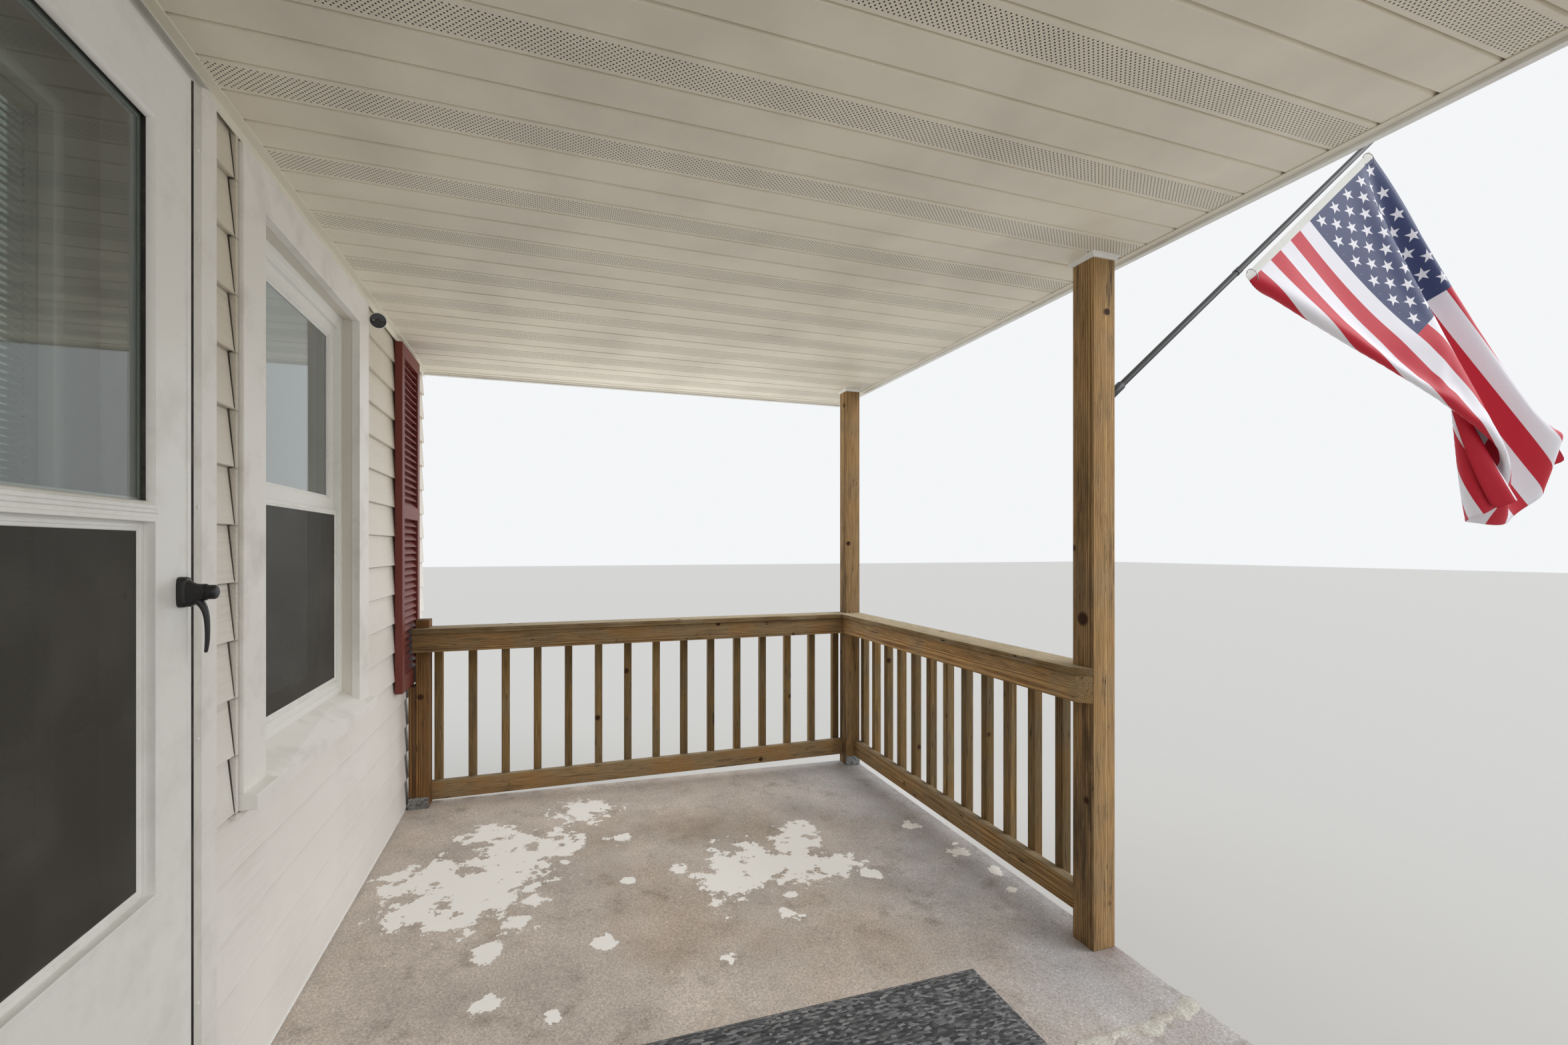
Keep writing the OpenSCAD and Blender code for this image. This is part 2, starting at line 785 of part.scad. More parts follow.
// A sill whose top falls from the window to a deep front edge, with horns under the casings
module window_sills() {
    low_z = window_sill_z - sill_front_h;
    out_y = wall_y - sill_reach;
    color("white") pair() {
        along_wall(window_x - casing_half, window_x + casing_half) polygon([
            [out_y, low_z], [wall_y, low_z], [wall_y, window_sill_z],
            [wall_y - casing_t, window_sill_z], [out_y, window_sill_z - 4]
        ]);
        along_wall(frame_x0, frame_x1) polygon([
            [out_y, low_z], [wall_y, low_z], [wall_y, window_sill_z], [inner_y, window_sill_z],
            [inner_y, window_low_z], [frame_y, window_low_z], [out_y, window_sill_z - 4]
        ]);
    }
}

// A rectangular ring of rails, w wide, between two corners
module ring(low, high, w) {
    difference() {
        box(low, high);
        box([low[0] + w, low[1] - eps, low[2] + w], [high[0] - w, high[1] + eps, high[2] - w]);
    }
}

// A sash between two heights with a bead that steps in to the street face of its glass
module sash(y, z0, z1) {
    lap = sash_w - eps;
    ring([sash_x0 - eps, y, z0], [sash_x1 + eps, y + sash_t, z1], sash_w);
    for (step = [1, 2]) ring([sash_x0 + lap, y + 3 * step, z0 + lap],
        [sash_x1 - lap, y + (sash_t - pane_t) / 2, z1 - lap], 5 * step);
}

// The frame with its two sashes, the lower one set behind the upper one, and their lock
module window_frames() {
    color("white") pair() {
        ring([frame_x0, frame_y, window_low_z], [frame_x1, frame_y + frame_d, window_top_z], frame_t);
        ring([frame_x0, frame_y - 3, window_low_z], [frame_x1, frame_y + eps, window_top_z], frame_t / 2);
        sash(upper_sash_y, meeting_z, sash_top_z + eps);
        sash(lower_sash_y, sash_low_z - eps, meeting_z + meeting_h);
        translate([window_x, lower_sash_y + sash_t / 2, meeting_z + meeting_h - eps]) {
            cylinder(h = 8, r = 10);
            box([-4, -8, 4], [34, 0, 10]);
        }
    }
}

module window_glass() {
    inset = sash_w - eps;
    in_sash = (sash_t - pane_t) / 2;
    color("lightblue", 0.4) pair() translate([0, in_sash, 0]) {
        box([sash_x0 + inset, upper_sash_y, meeting_z + sash_w],
            [sash_x1 - inset, upper_sash_y + pane_t, sash_top_z - inset]);
        box([sash_x0 + inset, lower_sash_y, sash_low_z + inset],
            [sash_x1 - inset, lower_sash_y + pane_t, meeting_z + meeting_h - sash_w]);
    }
}

// An insect screen: a narrow frame with a thin mesh near its middle
module insect_screen(low, high) {
    lap = screen_w - 1;
    mid_y = (low[1] + high[1]) / 2;
    ring(low, high, screen_w);
    box([low[0] + lap, mid_y - mesh_t / 2, low[2] + lap],
        [high[0] - lap, mid_y + mesh_t / 2, high[2] - lap]);
}

module window_screens() {
    y0 = frame_y + 2;
    color("dimgray") pair()
        insect_screen([sash_x0, y0, sash_low_z], [sash_x1, y0 + screen_t, meeting_z]);
}

// Slats that lean down and out between a shutter's stiles
module louvers(x0, x1, z0, z1, back_y) {
    count = floor((z1 - z0) / louver_pitch);
    step = (z1 - z0) / count;
    slat_y = shutter_y + 5;
    for (i = [0:count - 1]) along_wall(x0 - eps, x1 + eps) polygon([
        [back_y, z0 + i * step], [slat_y, z0 + i * step],
        [slat_y, z0 + i * step + 4], [back_y, z0 + (i + 1) * step - 1]
    ]);
}

module shutters() {
    stile = 48;
    rail = 60;
    x1 = shutter_x + shutter_w;
    z1 = shutter_z + shutter_h;
    mid_z = shutter_z + shutter_h / 2;
    back_y = wall_y - siding_t;
    panels = [[shutter_z + rail + 15, mid_z], [mid_z + rail, z1 - rail]];
    color("brown") pair() {
        difference() {
            box([shutter_x, shutter_y, shutter_z], [x1, back_y, z1]);
            for (p = panels)
                box([shutter_x + stile, shutter_y - eps, p[0]], [x1 - stile, back_y - 3, p[1]]);
        }
        for (p = panels) louvers(shutter_x + stile, x1 - stile, p[0], p[1], back_y - 3 + eps);
    }
}

// The camera stands on a round foot that is cut to the lean of the siding under it
module security_camera() {
    foot_r = 26;
    neck_r = 9;
    body_r = 34;
    x = window_x + casing_half + 42;
    color("white") difference() {
        translate([x, wall_y, ceiling_z - camera_drop]) rotate([90, 0, 0])
            rotate_extrude() polygon([
                [0, 0], [foot_r, 0], [foot_r, siding_t + 6], [foot_r - 4, siding_t + 10],
                [neck_r, siding_t + 12], [neck_r, siding_t + 24], [body_r - 8, siding_t + 28],
                [body_r - 2, siding_t + 33], [body_r, siding_t + 40], [body_r, siding_t + 57],
                [body_r - 2, siding_t + 60], [body_r - 4, siding_t + 60],
                [body_r - 5, siding_t + 57], [0, siding_t + 57]
            ]);
        along_wall(x - foot_r - eps, x + foot_r + eps) siding_section();
    }
}

// Places the children along the pole, from its foot, with local Z up the pole
module on_pole() {
    translate([flag_post_x, pole_foot_y, pole_foot_z]) rotate([90 - pole_angle, 0, 0]) children();
}

// A plate on the post with a sloping socket for the pole
module flag_bracket() {
    socket_r = pole_r + 4;
    x = flag_post_x;
    z = pole_foot_z;
    face_y = post_y - bracket_t;
    color("black") {
        box([x - 22, face_y, z - 50], [x + 22, post_y, z + 50]);
        difference() {
            union() {
                on_pole() translate([0, 0, -6]) cylinder(h = 66, r = socket_r);
                box([x - 6, post_y - 30, z - 26], [x + 6, face_y + eps, z + 14]);
            }
            on_pole() cylinder(h = 61, r = pole_r + flag_gap);
            box([x - 40, face_y + eps, z - 90], [x + 40, post_y + 60, z + 90]);
        }
    }
}

// The pole's two lengths meet in a collar under the flag, and a ball closes its tip
module flag_pole() {
    color("black") on_pole() {
        cylinder(h = pole_len, r = pole_r);
        translate([0, 0, flag_low - 42]) cylinder(h = 30, r = pole_r + 1.5);
        translate([0, 0, pole_len - 6]) cylinder(h = 6, r = pole_r + 2);
        translate([0, 0, pole_len]) sphere(r = pole_r + 4);
    }
}

// The cloth in the pole's own frame, where Z runs up the pole and -Y falls square to it.
// The wind swings it to one side, narrows it to a waist and folds it from pole to hem
module flag() {
    outline = [[0, 0], [0.23, 0.1], [0.37, 0.19], [0.66, 0.34], [0.82, 0.3], [0.95, 0.27],
        [0.96, 0.78], [0.88, 0.81], [0.75, 0.8], [0.56, 0.86], [0.36, 0.93], [0, 1]];
    folds = 12;
    fold_x = 26;
    cloth_t = 14;
    color("firebrick") on_pole() rotate([0, 0, -flag_swing]) intersection() {
        along_wall(-fold_x - cloth_t, fold_x + cloth_t) polygon([for (p = outline)
            [-pole_r - flag_gap - p[0] * flag_fly, flag_low + p[1] * flag_hoist]]);
        rotate([90, 0, 0]) linear_extrude(flag_fly) polygon([
            for (side = [0, 1], i = [0:folds]) let (k = side == 0 ? i : folds - i)
                [(k % 2 - 0.5) * 2 * fold_x + (side - 0.5) * cloth_t,
                 flag_low + k * flag_hoist / folds]
        ]);
    }
}

// A stepped bead round an opening in a face: out = -1 on the street side and 1 on the other
module opening_bead(x, y, z0, z1, out) {
    for (step = [1, 2]) {
        w = bead_w / step;
        near = y + (out < 0 ? -bead_t * step : -eps);
        far = y + (out < 0 ? eps : bead_t * step);
        ring([-x - w, near, z0 - w], [x + w, far, z1 + w], w);
    }
}

// The leaf: stiles and rails round two tall openings over a kick panel
module storm_door_leaf() {
    y1 = storm_y + storm_t;
    x1 = storm_half - storm_stile;
    top_z = storm_z + storm_h;
    lights = [[storm_kick_z, storm_bar_z], [storm_bar_z + storm_bar_h, top_z - storm_top_rail]];
    color("white") {
        difference() {
            box([-storm_half, storm_y, storm_z], [storm_half, y1, top_z]);
            for (z = lights) box([-x1, storm_y - eps, z[0]], [x1, y1 + eps, z[1]]);
        }
        for (z = lights) {
            opening_bead(x1, storm_y, z[0], z[1], -1);
            opening_bead(x1, y1, z[0], z[1], 1);
        }
    }
}

module storm_glass() {
    x1 = storm_half - storm_stile;
    y0 = storm_y + (storm_t - pane_t) / 2;
    color("lightblue", 0.4) box([-x1, y0, storm_bar_z + storm_bar_h],
        [x1, y0 + pane_t, storm_z + storm_h - storm_top_rail]);
}

module storm_screen() {
    x1 = storm_half - storm_stile;
    y0 = storm_y + (storm_t - screen_t) / 2;
    color("dimgray") insect_screen([-x1, y0, storm_kick_z], [x1, y0 + screen_t, storm_bar_z]);
}

// A plate on the stile with a round housing for the push button and a pull below it, and
// inside the door a smaller plate with a short lever
module storm_handle() {
    z = handle_z;
    back_y = storm_y + storm_t;
    color("black") difference() {
        union() {
            box([handle_x - 17, storm_y - 3, z - 112], [handle_x + 17, storm_y, z + 28]);
            box([handle_x - 15, storm_y - 5, z - 110], [handle_x + 15, storm_y, z + 26]);
            box([handle_x - 15, back_y, z - 50], [handle_x + 15, back_y + 4, z + 50]);
            translate([handle_x, back_y, z]) rotate([-90, 0, 0]) cylinder(h = 26, r = 9);
            box([handle_x - 60, back_y + 18, z - 7], [handle_x, back_y + 26, z + 7]);
            translate([handle_x, storm_y, z]) rotate([90, 0, 0])
                cylinder(h = handle_reach, r = button_r + 5);
            along_wall(handle_x - 9, handle_x + 9) polygon([
                [handle_y, z - 5], [handle_y - 4, z - 40], [handle_y + 2, z - 90],
                [handle_y + 20, z - 120], [storm_y - 2, z - 108], [storm_y - 2, z - 94],
                [handle_y + 20, z - 102], [handle_y + 11, z - 80],
                [handle_y + 8, z - 40], [handle_y + 16, z - 5]
            ]);
        }
        translate([handle_x, handle_y - 20, z]) rotate([-90, 0, 0])
            cylinder(h = button_seat + 20, r = button_r + button_fit);
    }
}

module handle_button() {
    back_y = handle_y + button_seat - button_travel - 1;
    color("black") translate([handle_x, back_y, handle_z]) rotate([90, 0, 0])
        rotate_extrude() polygon([
            [0, 0], [button_r, 0], [button_r, 28], [button_r - 1.5, 30.5], [button_r - 4, 32], [0, 33]
        ]);
}

module entry_door_leaf() {
    color("white") {
        difference() {
            box([-entry_half, entry_y, entry_z], [entry_half, inner_y, entry_z + entry_h]);
            box([-lite_half, entry_y - eps, lite_low_z], [lite_half, inner_y + eps, lite_top_z]);
        }
        opening_bead(lite_half, entry_y, lite_low_z, lite_top_z, -1);
        opening_bead(lite_half, inner_y, lite_low_z, lite_top_z, 1);
    }
}

module entry_lite() {
    y0 = entry_y + (entry_t - lite_t) / 2;
    color("lightblue", 0.4) box([-lite_half, y0, lite_low_z], [lite_half, y0 + lite_t, lite_top_z]);
}

// One half of the knob, standing out from the leaf along local Z
module door_knob() {
    cylinder(h = 5, r = 33);
    cylinder(h = 9, r = 27);
    cylinder(h = 34, r = 12);
    translate([0, 0, 40]) sphere(r = 24);
}

module entry_knob() {
    color("silver") translate([entry_half - 62, 0, entry_z + knob_up]) {
        translate([0, entry_y, 0]) rotate([90, 0, 0]) door_knob();
        translate([0, inner_y, 0]) rotate([-90, 0, 0]) door_knob();
    }
}

porch_slab();
house_foundation();
house_wall_left();
house_wall_right();
house_wall_over_door();
wall_siding();
wall_base_flashing();
porch_posts();
wall_posts();
post_bases();
post_collars();
front_inner_rails();
end_inner_rails();
outer_top_rails();
front_rail_caps();
end_rail_caps();
bottom_rails();
front_balusters();
end_balusters();
soffit_ceiling();
soffit_trim();
header_beam();
roof_rafters();
roof_deck();
roof_shingles();
front_fascia();
roof_end_boards();
door_casing_sides();
door_casing_head();
door_sill();
entry_jambs();
entry_jamb_head();
storm_frame_sides();
storm_drip_cap();
door_hinge_pins();
window_casings();
window_sills();
window_frames();
window_glass();
window_screens();
shutters();
security_camera();
flag_bracket();
flag_pole();
flag();
storm_door_leaf();
storm_glass();
storm_screen();
storm_handle();
storm_hinge_knuckles();
handle_button();
entry_door_leaf();
entry_lite();
entry_knob();
entry_hinge_knuckles();
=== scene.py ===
"""Dress a timber and vinyl front porch: its finishes, boards, blinds, screens, shingle tabs, nails and flag."""
import logging
import math
from dataclasses import dataclass, field
from enum import Enum
from typing import Any, Callable, Mapping

import bmesh
import bpy
import numpy as np
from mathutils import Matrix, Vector


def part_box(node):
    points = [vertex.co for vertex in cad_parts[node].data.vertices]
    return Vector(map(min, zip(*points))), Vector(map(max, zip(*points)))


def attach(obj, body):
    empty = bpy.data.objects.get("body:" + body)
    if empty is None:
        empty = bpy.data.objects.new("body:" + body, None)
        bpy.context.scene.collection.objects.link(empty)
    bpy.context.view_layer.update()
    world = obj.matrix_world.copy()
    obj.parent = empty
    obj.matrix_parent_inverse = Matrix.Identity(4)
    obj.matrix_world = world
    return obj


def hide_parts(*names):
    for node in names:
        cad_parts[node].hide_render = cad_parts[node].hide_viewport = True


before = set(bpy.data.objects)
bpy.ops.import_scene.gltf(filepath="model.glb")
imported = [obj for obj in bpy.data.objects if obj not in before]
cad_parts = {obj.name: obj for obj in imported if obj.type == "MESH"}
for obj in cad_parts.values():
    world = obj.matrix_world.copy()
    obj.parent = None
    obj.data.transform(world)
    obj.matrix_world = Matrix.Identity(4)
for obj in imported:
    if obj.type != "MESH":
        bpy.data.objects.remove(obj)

log = logging.getLogger("front_porch")
Array = np.ndarray
Point = tuple[float, float, float]
Spots = tuple[tuple[float, float, float, float], ...]
MM = 0.001
STREET_Y = -1.2175
SLAB_EDGE = 0.290
SLAB_SLOPE = 0.039 / 2.435
MIRROR = np.array([-1, 1, 1])
DOME = np.array([[0, -0.3], [1, -0.3], [0.9, 0.5], [0.5, 0.9], [0, 1]])
SCREEN_RIM = np.array([[0, 0.1], [0.12, 0], [0.6, 0], [0.66, 0.2], [0.86, 0.2], [1, 0.35], [1, 1], [0, 1]])


class Way(Enum):
    """The direction that a fastener's head looks in."""

    STREET = (0.0, -1.0, 0.0)
    RIGHT = (1.0, 0.0, 0.0)
    LEFT = (-1.0, 0.0, 0.0)


def linear(shade: str) -> tuple[float, float, float, float]:
    """Turn an sRGB hex colour into linear light.

    Args:
        shade: A colour such as "#c0ffee".

    Returns:
        Red, green, blue and a full alpha.
    """
    part = np.array([int(shade[i : i + 2], 16) for i in (1, 3, 5)]) / 255
    part = np.where(part <= 0.04045, part / 12.92, ((part + 0.055) / 1.055) ** 2.4)
    return (*part.tolist(), 1.0)


def join(tree: bpy.types.NodeTree, node: bpy.types.Node, wires: Mapping[Any, Any]) -> None:
    """Link or set a node's inputs.

    Args:
        tree: The node tree.
        node: The node whose inputs are meant.
        wires: From an input's name or number to a wire, a hex colour or a number.
    """
    for key, value in wires.items():
        value = value.source if isinstance(value, Wire) else value
        if isinstance(value, bpy.types.Node):
            value = next(socket for socket in value.outputs if socket.enabled)
        if isinstance(value, bpy.types.NodeSocket):
            tree.links.new(value, node.inputs[key])
        else:
            node.inputs[key].default_value = linear(value) if isinstance(value, str) else value


def sum_node(operation: str) -> Callable[["Wire", Any], "Wire"]:
    """Return a method that works a wire and a number out into one, by one kind of Math node."""
    return lambda self, other: self.math(operation, other)


@dataclass(frozen=True)
class Wire:
    """A value in a shader tree, a node or one of its outputs, whose arithmetic adds the nodes for it."""

    tree: bpy.types.NodeTree
    source: Any
    __add__, __sub__ = sum_node("ADD"), sum_node("SUBTRACT")
    __mul__, __truediv__ = sum_node("MULTIPLY"), sum_node("DIVIDE")

    def __getitem__(self, output: str) -> "Wire":
        """Return one named output of the node."""
        return Wire(self.tree, self.source.outputs[output])

    def math(self, operation: str, *values: Any, kind: str = "Math", **settings: Any) -> "Wire":
        """Add a node that works this value and others out into one.

        Args:
            operation: What the node does.
            *values: Its other inputs in order.
            kind: Math for numbers or VectorMath for vectors and colours.
            **settings: The node's own properties.

        Returns:
            The result.
        """
        return Net(self.tree).add(kind, dict(enumerate((self, *values))), operation=operation, **settings)

    def drawn(self, by: Point) -> "Wire":
        """Return the vector with each axis multiplied by its own number."""
        return self.math("MULTIPLY", by, kind="VectorMath")

    def scaled(self, by: "Wire") -> "Wire":
        """Return the colour or vector multiplied by one number."""
        return Net(self.tree).add("VectorMath", {0: self, "Scale": by}, operation="SCALE")

    def part(self, axis: str) -> "Wire":
        """Return a vector's x, y or z."""
        return Net(self.tree).add("SeparateXYZ", {0: self})[axis]

    def ramp(self, low: float = 0.0, high: float = 1.0, start: float = 0.0, end: float = 1.0) -> "Wire":
        """Map the number from between low and high to between start and end, and hold it there."""
        return Net(self.tree).add("MapRange", {0: self, 1: low, 2: high, 3: start, 4: end})

    def mix(self, below: Any, above: Any, **settings: Any) -> "Wire":
        """Mix two colours, with this number as the share of the second."""
        return Net(self.tree).add("Mix", {0: self, 6: below, 7: above}, data_type="RGBA", **settings)


@dataclass(frozen=True)
class Net:
    """A shader tree and the nodes that most finishes start from."""

    tree: bpy.types.NodeTree

    def add(self, kind: str, wires: Mapping[Any, Any] | None = None, **settings: Any) -> Wire:
        """Add one shader node with its settings and links.

        Args:
            kind: The node's type without its ShaderNode prefix.
            wires: What its inputs are linked or set to.
            **settings: The node's own properties.

        Returns:
            The new node.
        """
        node = self.tree.nodes.new("ShaderNode" + kind)
        for key, value in settings.items():
            setattr(node, key, value)
        join(self.tree, node, wires or {})
        return Wire(self.tree, node)

    def here(self) -> Wire:
        """Return the point in the object's own metres."""
        return self.add("TexCoord")["Object"]

    def facing(self, axis: str) -> Wire:
        """Return how far the surface faces along an axis."""
        return self.add("NewGeometry")["Normal"].part(axis)

    def noise(self, at: Wire, scale: float, detail: float = 2.0, rough: float = 0.5, warp: float = 0.0) -> Wire:
        """Return a cloudy number round 0.5, with so many lumps to the metre."""
        return self.add("TexNoise", {"Vector": at, "Scale": scale, "Detail": detail, "Roughness": rough,
            "Distortion": warp})["Fac"]

    def cells(self, at: Wire, size: float, **more: float) -> Wire:
        """Return a pattern of cells of one size in metres."""
        return self.add("TexVoronoi", {"Vector": at, "Scale": 1 / size, **more})

    def waves(self, at: Wire, size: float, more: Mapping[str, float] | None = None, **settings: Any) -> Wire:
        """Return waves whose crests are one size in metres apart."""
        return self.add("TexWave", {"Vector": at, "Scale": math.tau / (20 * size), **(more or {})}, **settings)["Fac"]

    def nearest(self, here: Wire, spots: Spots) -> Wire:
        """Find how far a point is from the nearest of some spots, as a share of that spot's radius.

        Args:
            here: The point.
            spots: Each spot's x, y, z and radius in metres.

        Returns:
            The least share.
        """
        least = None
        for *at, radius in spots:
            share = here.math("DISTANCE", tuple(at), kind="VectorMath")["Value"] / radius
            least = share if least is None else least.math("MINIMUM", share)
        return least

    def finish(self, paint: Any, rough: Any, height: Any, strength: float, deep: float, **more: Any) -> None:
        """Join the colour, the roughness and a bump to the Principled shader.

        Args:
            paint: The base colour.
            rough: The roughness.
            height: The bump's height, as a share of its depth.
            strength: The bump's strength.
            deep: The bump's depth in millimetres.
            **more: The shader's other inputs, with underscores for spaces, and invert for the bump.
        """
        bump = self.add("Bump", {"Height": height, "Strength": strength, "Distance": deep * MM},
            invert=more.pop("invert", False))
        named = {key.replace("_", " "): value for key, value in more.items()}
        join(self.tree, self.tree.nodes["Principled BSDF"], {"Base Color": paint, "Roughness": rough,
            "Normal": bump, **named})


@dataclass(frozen=True)
class Finish:
    """A named finish that is made once and then shared."""

    name: str

    def material(self) -> bpy.types.Material:
        """Return the finish's material, made at the first call."""
        made = bpy.data.materials.get(self.name)
        if made is None:
            made = bpy.data.materials.new(self.name)
            made.use_nodes = True
            self.paint(Net(made.node_tree))
        return made

    def paint(self, net: Net) -> None:
        """Lay out the finish's nodes in its tree."""
        raise NotImplementedError


@dataclass(frozen=True)
class SawnTimber(Finish):
    """Pressure-treated pine, planed and left to the weather.

    The eye sees growth rings 4.5 mm apart where a face cuts them, fine fibres, grey patches, black
    streaks, drying cracks along the board and a few knots. Top faces are greyer, partly from weathering and
    partly as a painted highlight, and the sides that face the house carry painted shade with dark streaks.
    """

    pale: str
    late: str
    grey: str
    greyed: float = 0.45
    streaked: float = 0.3
    # The share of painted shade, with dark streaks, on the sides that face the house.
    house_side_shade_and_soot: float = 0.0
    knots: Spots = ()
    ring: float = 4.5 * MM
    # The heights over which that painted shade on the house side fades.
    house_side_shade_fade: tuple[float, float] = (1.3, 2.3)

    def paint(self, net: Net) -> None:
        """Lay out rings round the pith, then fibres, weather with a painted highlight on top faces, painted shade
        on the sides that face the house, cracks and knots.
        """
        grain = net.add("Attribute", attribute_name="grain")["Vector"]
        tone = net.add("Attribute", attribute_name="tone")["Fac"]
        here = net.here()
        drawn, thread = grain.drawn((1, 1, 0.06)), grain.drawn((1, 1, 0.018))
        rings = net.waves(drawn, self.ring, {"Distortion": 4.0, "Detail": 2.0, "Detail Scale": 0.3},
            wave_type="RINGS", rings_direction="Z")
        fibre = net.noise(thread, 520.0, 4.0, 0.65)
        cloud = net.noise(grain, 5.0, 5.0, 0.6)
        wood = rings.ramp(0.3, 0.9, 0.0, 0.95).mix(self.pale, self.late)
        worn = fibre.ramp(0.32, 0.68, 0.5, 1.3) * tone.math("MULTIPLY_ADD", 0.45, 0.8)
        wood = wood.scaled(worn)
        # Top faces turn grey: partly weathering, partly a painted highlight where light falls on them.
        top = net.facing("Z").ramp(0.5, 0.95, 0.0, 0.8)
        weather_and_top_highlight = cloud.ramp(0.42, 0.62, 0.1, 2 * self.greyed).math("ADD", top, use_clamp=True)
        grey = net.add("VectorMath", {0: linear(self.grey)[:3], "Scale": worn}, operation="SCALE")
        wood = weather_and_top_highlight.mix(wood, grey)
        run = grain.math("MULTIPLY_ADD", (1, 1, 0.1), (3, 5, 7), kind="VectorMath")
        soot = net.noise(run, 34.0, 5.0, 0.7)
        wood = soot.ramp(0.56, 0.72, 0.0, 2 * self.streaked).mix(wood, "#3a2c22")
        # Painted shade: the sides that face the house are darkened, most low down, and streaked near black there;
        # partly real dark streaks, partly the shade of the sides turned from the light.
        if self.house_side_shade_and_soot:
            inner = net.facing("Y").ramp(0.3, 0.8, 0.0, self.house_side_shade_and_soot)
            inner = inner * here.part("Z").ramp(*self.house_side_shade_fade, 1.0, 0.2)
            wood = (inner * 0.6).mix(wood, "#4d341b")
            wood = (soot.ramp(0.42, 0.56) * inner).mix(wood, "#1f160e")
        split = net.noise(thread, 90.0, 1.0).math("COMPARE", 0.5, 0.006)
        crack = split * cloud.ramp(0.5, 0.56)
        wood = crack.mix(wood, "#231a14")
        share = net.cells(grain, 1 / 5.5, Randomness=1.0)["Distance"].ramp(0.06, 0.1, 1.0, 0.0)
        if self.knots:
            share = share.math("MAXIMUM", net.nearest(here, self.knots).ramp(0.8, 1.1, 1.0, 0.0))
        wood = share.mix(wood, "#38200f")
        height = crack.math("MULTIPLY_ADD", -3.0, fibre + rings)
        net.finish(wood, 0.82, height, 0.5, 0.5, Specular_IOR_Level=0.3)


@dataclass(frozen=True)
class PouredConcrete(Finish):
    """Trowelled concrete with old paint that has peeled away in patches.

    The eye sees a pinkish-grey ground with 3 mm grit, crisp pale patches, a blue-grey tide near the
    railing, rust under the entry post and a crack mended with a raised bead of mortar.
    """

    ground: str = "#a89d96"
    bare: str = "#c9c3ba"
    tide: str = "#8b8b8e"
    ochre: str = "#a18a70"
    stained: str = "#857867"
    patches: Spots = ()
    rust: Spots = ()
    tide_from: float = -0.75
    tide_width: float = 0.6
    grit: float = 3.2 * MM

    def paint(self, net: Net) -> None:
        """Lay out blotches and grit, then the tide, the patches and the rust."""
        here = net.here()
        blotch = net.noise(here, 3.0, 8.0, 0.65)
        grit = net.cells(here, self.grit)
        fine = net.noise(here, 140.0, 6.0, 0.7)
        worn = blotch.ramp(0.3, 0.7, 0.76, 1.14) * fine.ramp(0.32, 0.68, 0.68, 1.28)
        worn = worn * grit["Color"].part("X").ramp(start=0.86, end=1.12)
        edge = blotch.math("MULTIPLY_ADD", 0.5, here.part("Y"))
        paint = edge.ramp(self.tide_from, self.tide_from + self.tide_width, 0.7, 0.0).mix(self.ground, self.tide)
        paint = net.noise(here, 1.7, 5.0, 0.6).ramp(0.5, 0.7, 0.0, 0.45).mix(paint, self.ochre)
        paint = net.noise(here, 8.0, 9.0, 0.7).ramp(0.54, 0.7, 0.0, 0.55).mix(paint, self.stained)
        paint = paint.scaled(worn)
        height = fine
        if self.patches:
            ragged = net.noise(here, 13.0, 8.0, 0.66).math("MULTIPLY_ADD", 5.2, -2.6)
            peeled = (net.nearest(here, self.patches) + ragged).ramp(0.98, 1.01, 1.0, 0.0)
            paint = peeled.mix(paint, self.bare)
            height = peeled.math("MULTIPLY_ADD", -1.2, fine)
        if self.rust:
            stain = net.nearest(here, self.rust).ramp(0.35, 1.1, 0.8, 0.0)
            paint = (stain * blotch).mix(paint, "#7a4a28")
        height = grit["Distance"].math("MULTIPLY_ADD", 0.4, height)
        net.finish(paint, 0.78, height, 0.45, 0.8)


@dataclass(frozen=True)
class EmbossedVinyl(Finish):
    """Extruded PVC pressed with a cedar grain while warm.

    The eye sees one even colour with a low sheen, long shallow grain lines and dust in its laps, with
    painted shade and a thin painted shadow line just under each lap.
    """

    shade: str
    dust: str = "#8d8271"
    along: Point = (0.035, 1.0, 1.0)
    depth: float = 0.35
    course: float = 0.0
    foot: float = 0.0
    gloss: float = 0.46
    aged: str = ""
    aged_from: tuple[float, float] = (0.8, 2.2)

    def paint(self, net: Net) -> None:
        """Lay out the pressed grain, the dust that gathers under each lap with painted shade there, and a painted
        shadow line just under each lap.
        """
        here = net.here()
        grain = net.noise(here.drawn(self.along), 230.0, 3.0, 0.55, 0.4)
        dust_and_lap_shade = net.noise(here, 2.2, 6.0, 0.6).ramp(0.45, 0.75, 0.0, 0.22)
        if self.course:
            height = here.part("Z")
            place = ((height - self.foot) / self.course).math("FRACT")
            # Darker towards each course's top, under the next lap: partly dust, partly painted shade.
            dust_and_lap_shade = dust_and_lap_shade + place.ramp(0.8, 1.0, 0.0, 0.3)
            # A thin painted shadow line just under each lap.
            lap_shadow = place.ramp(0.955, 0.985, 0.0, 0.5)
        dust_and_lap_shade = dust_and_lap_shade * grain.ramp(0.35, 0.65)
        paint = dust_and_lap_shade.mix(self.shade, self.dust)
        if self.aged:
            aged = height.ramp(*self.aged_from, 0.0, 0.6).mix((1, 1, 1, 1), self.aged)
            paint = net.add("Mix", {0: 1.0, 6: paint, 7: aged}, data_type="RGBA", blend_type="MULTIPLY")
        if self.course:
            # Lay the painted shadow line under each lap.
            paint = lap_shadow.mix(paint, "#6f675c")
        net.finish(paint, self.gloss, grain, self.depth, 0.5)


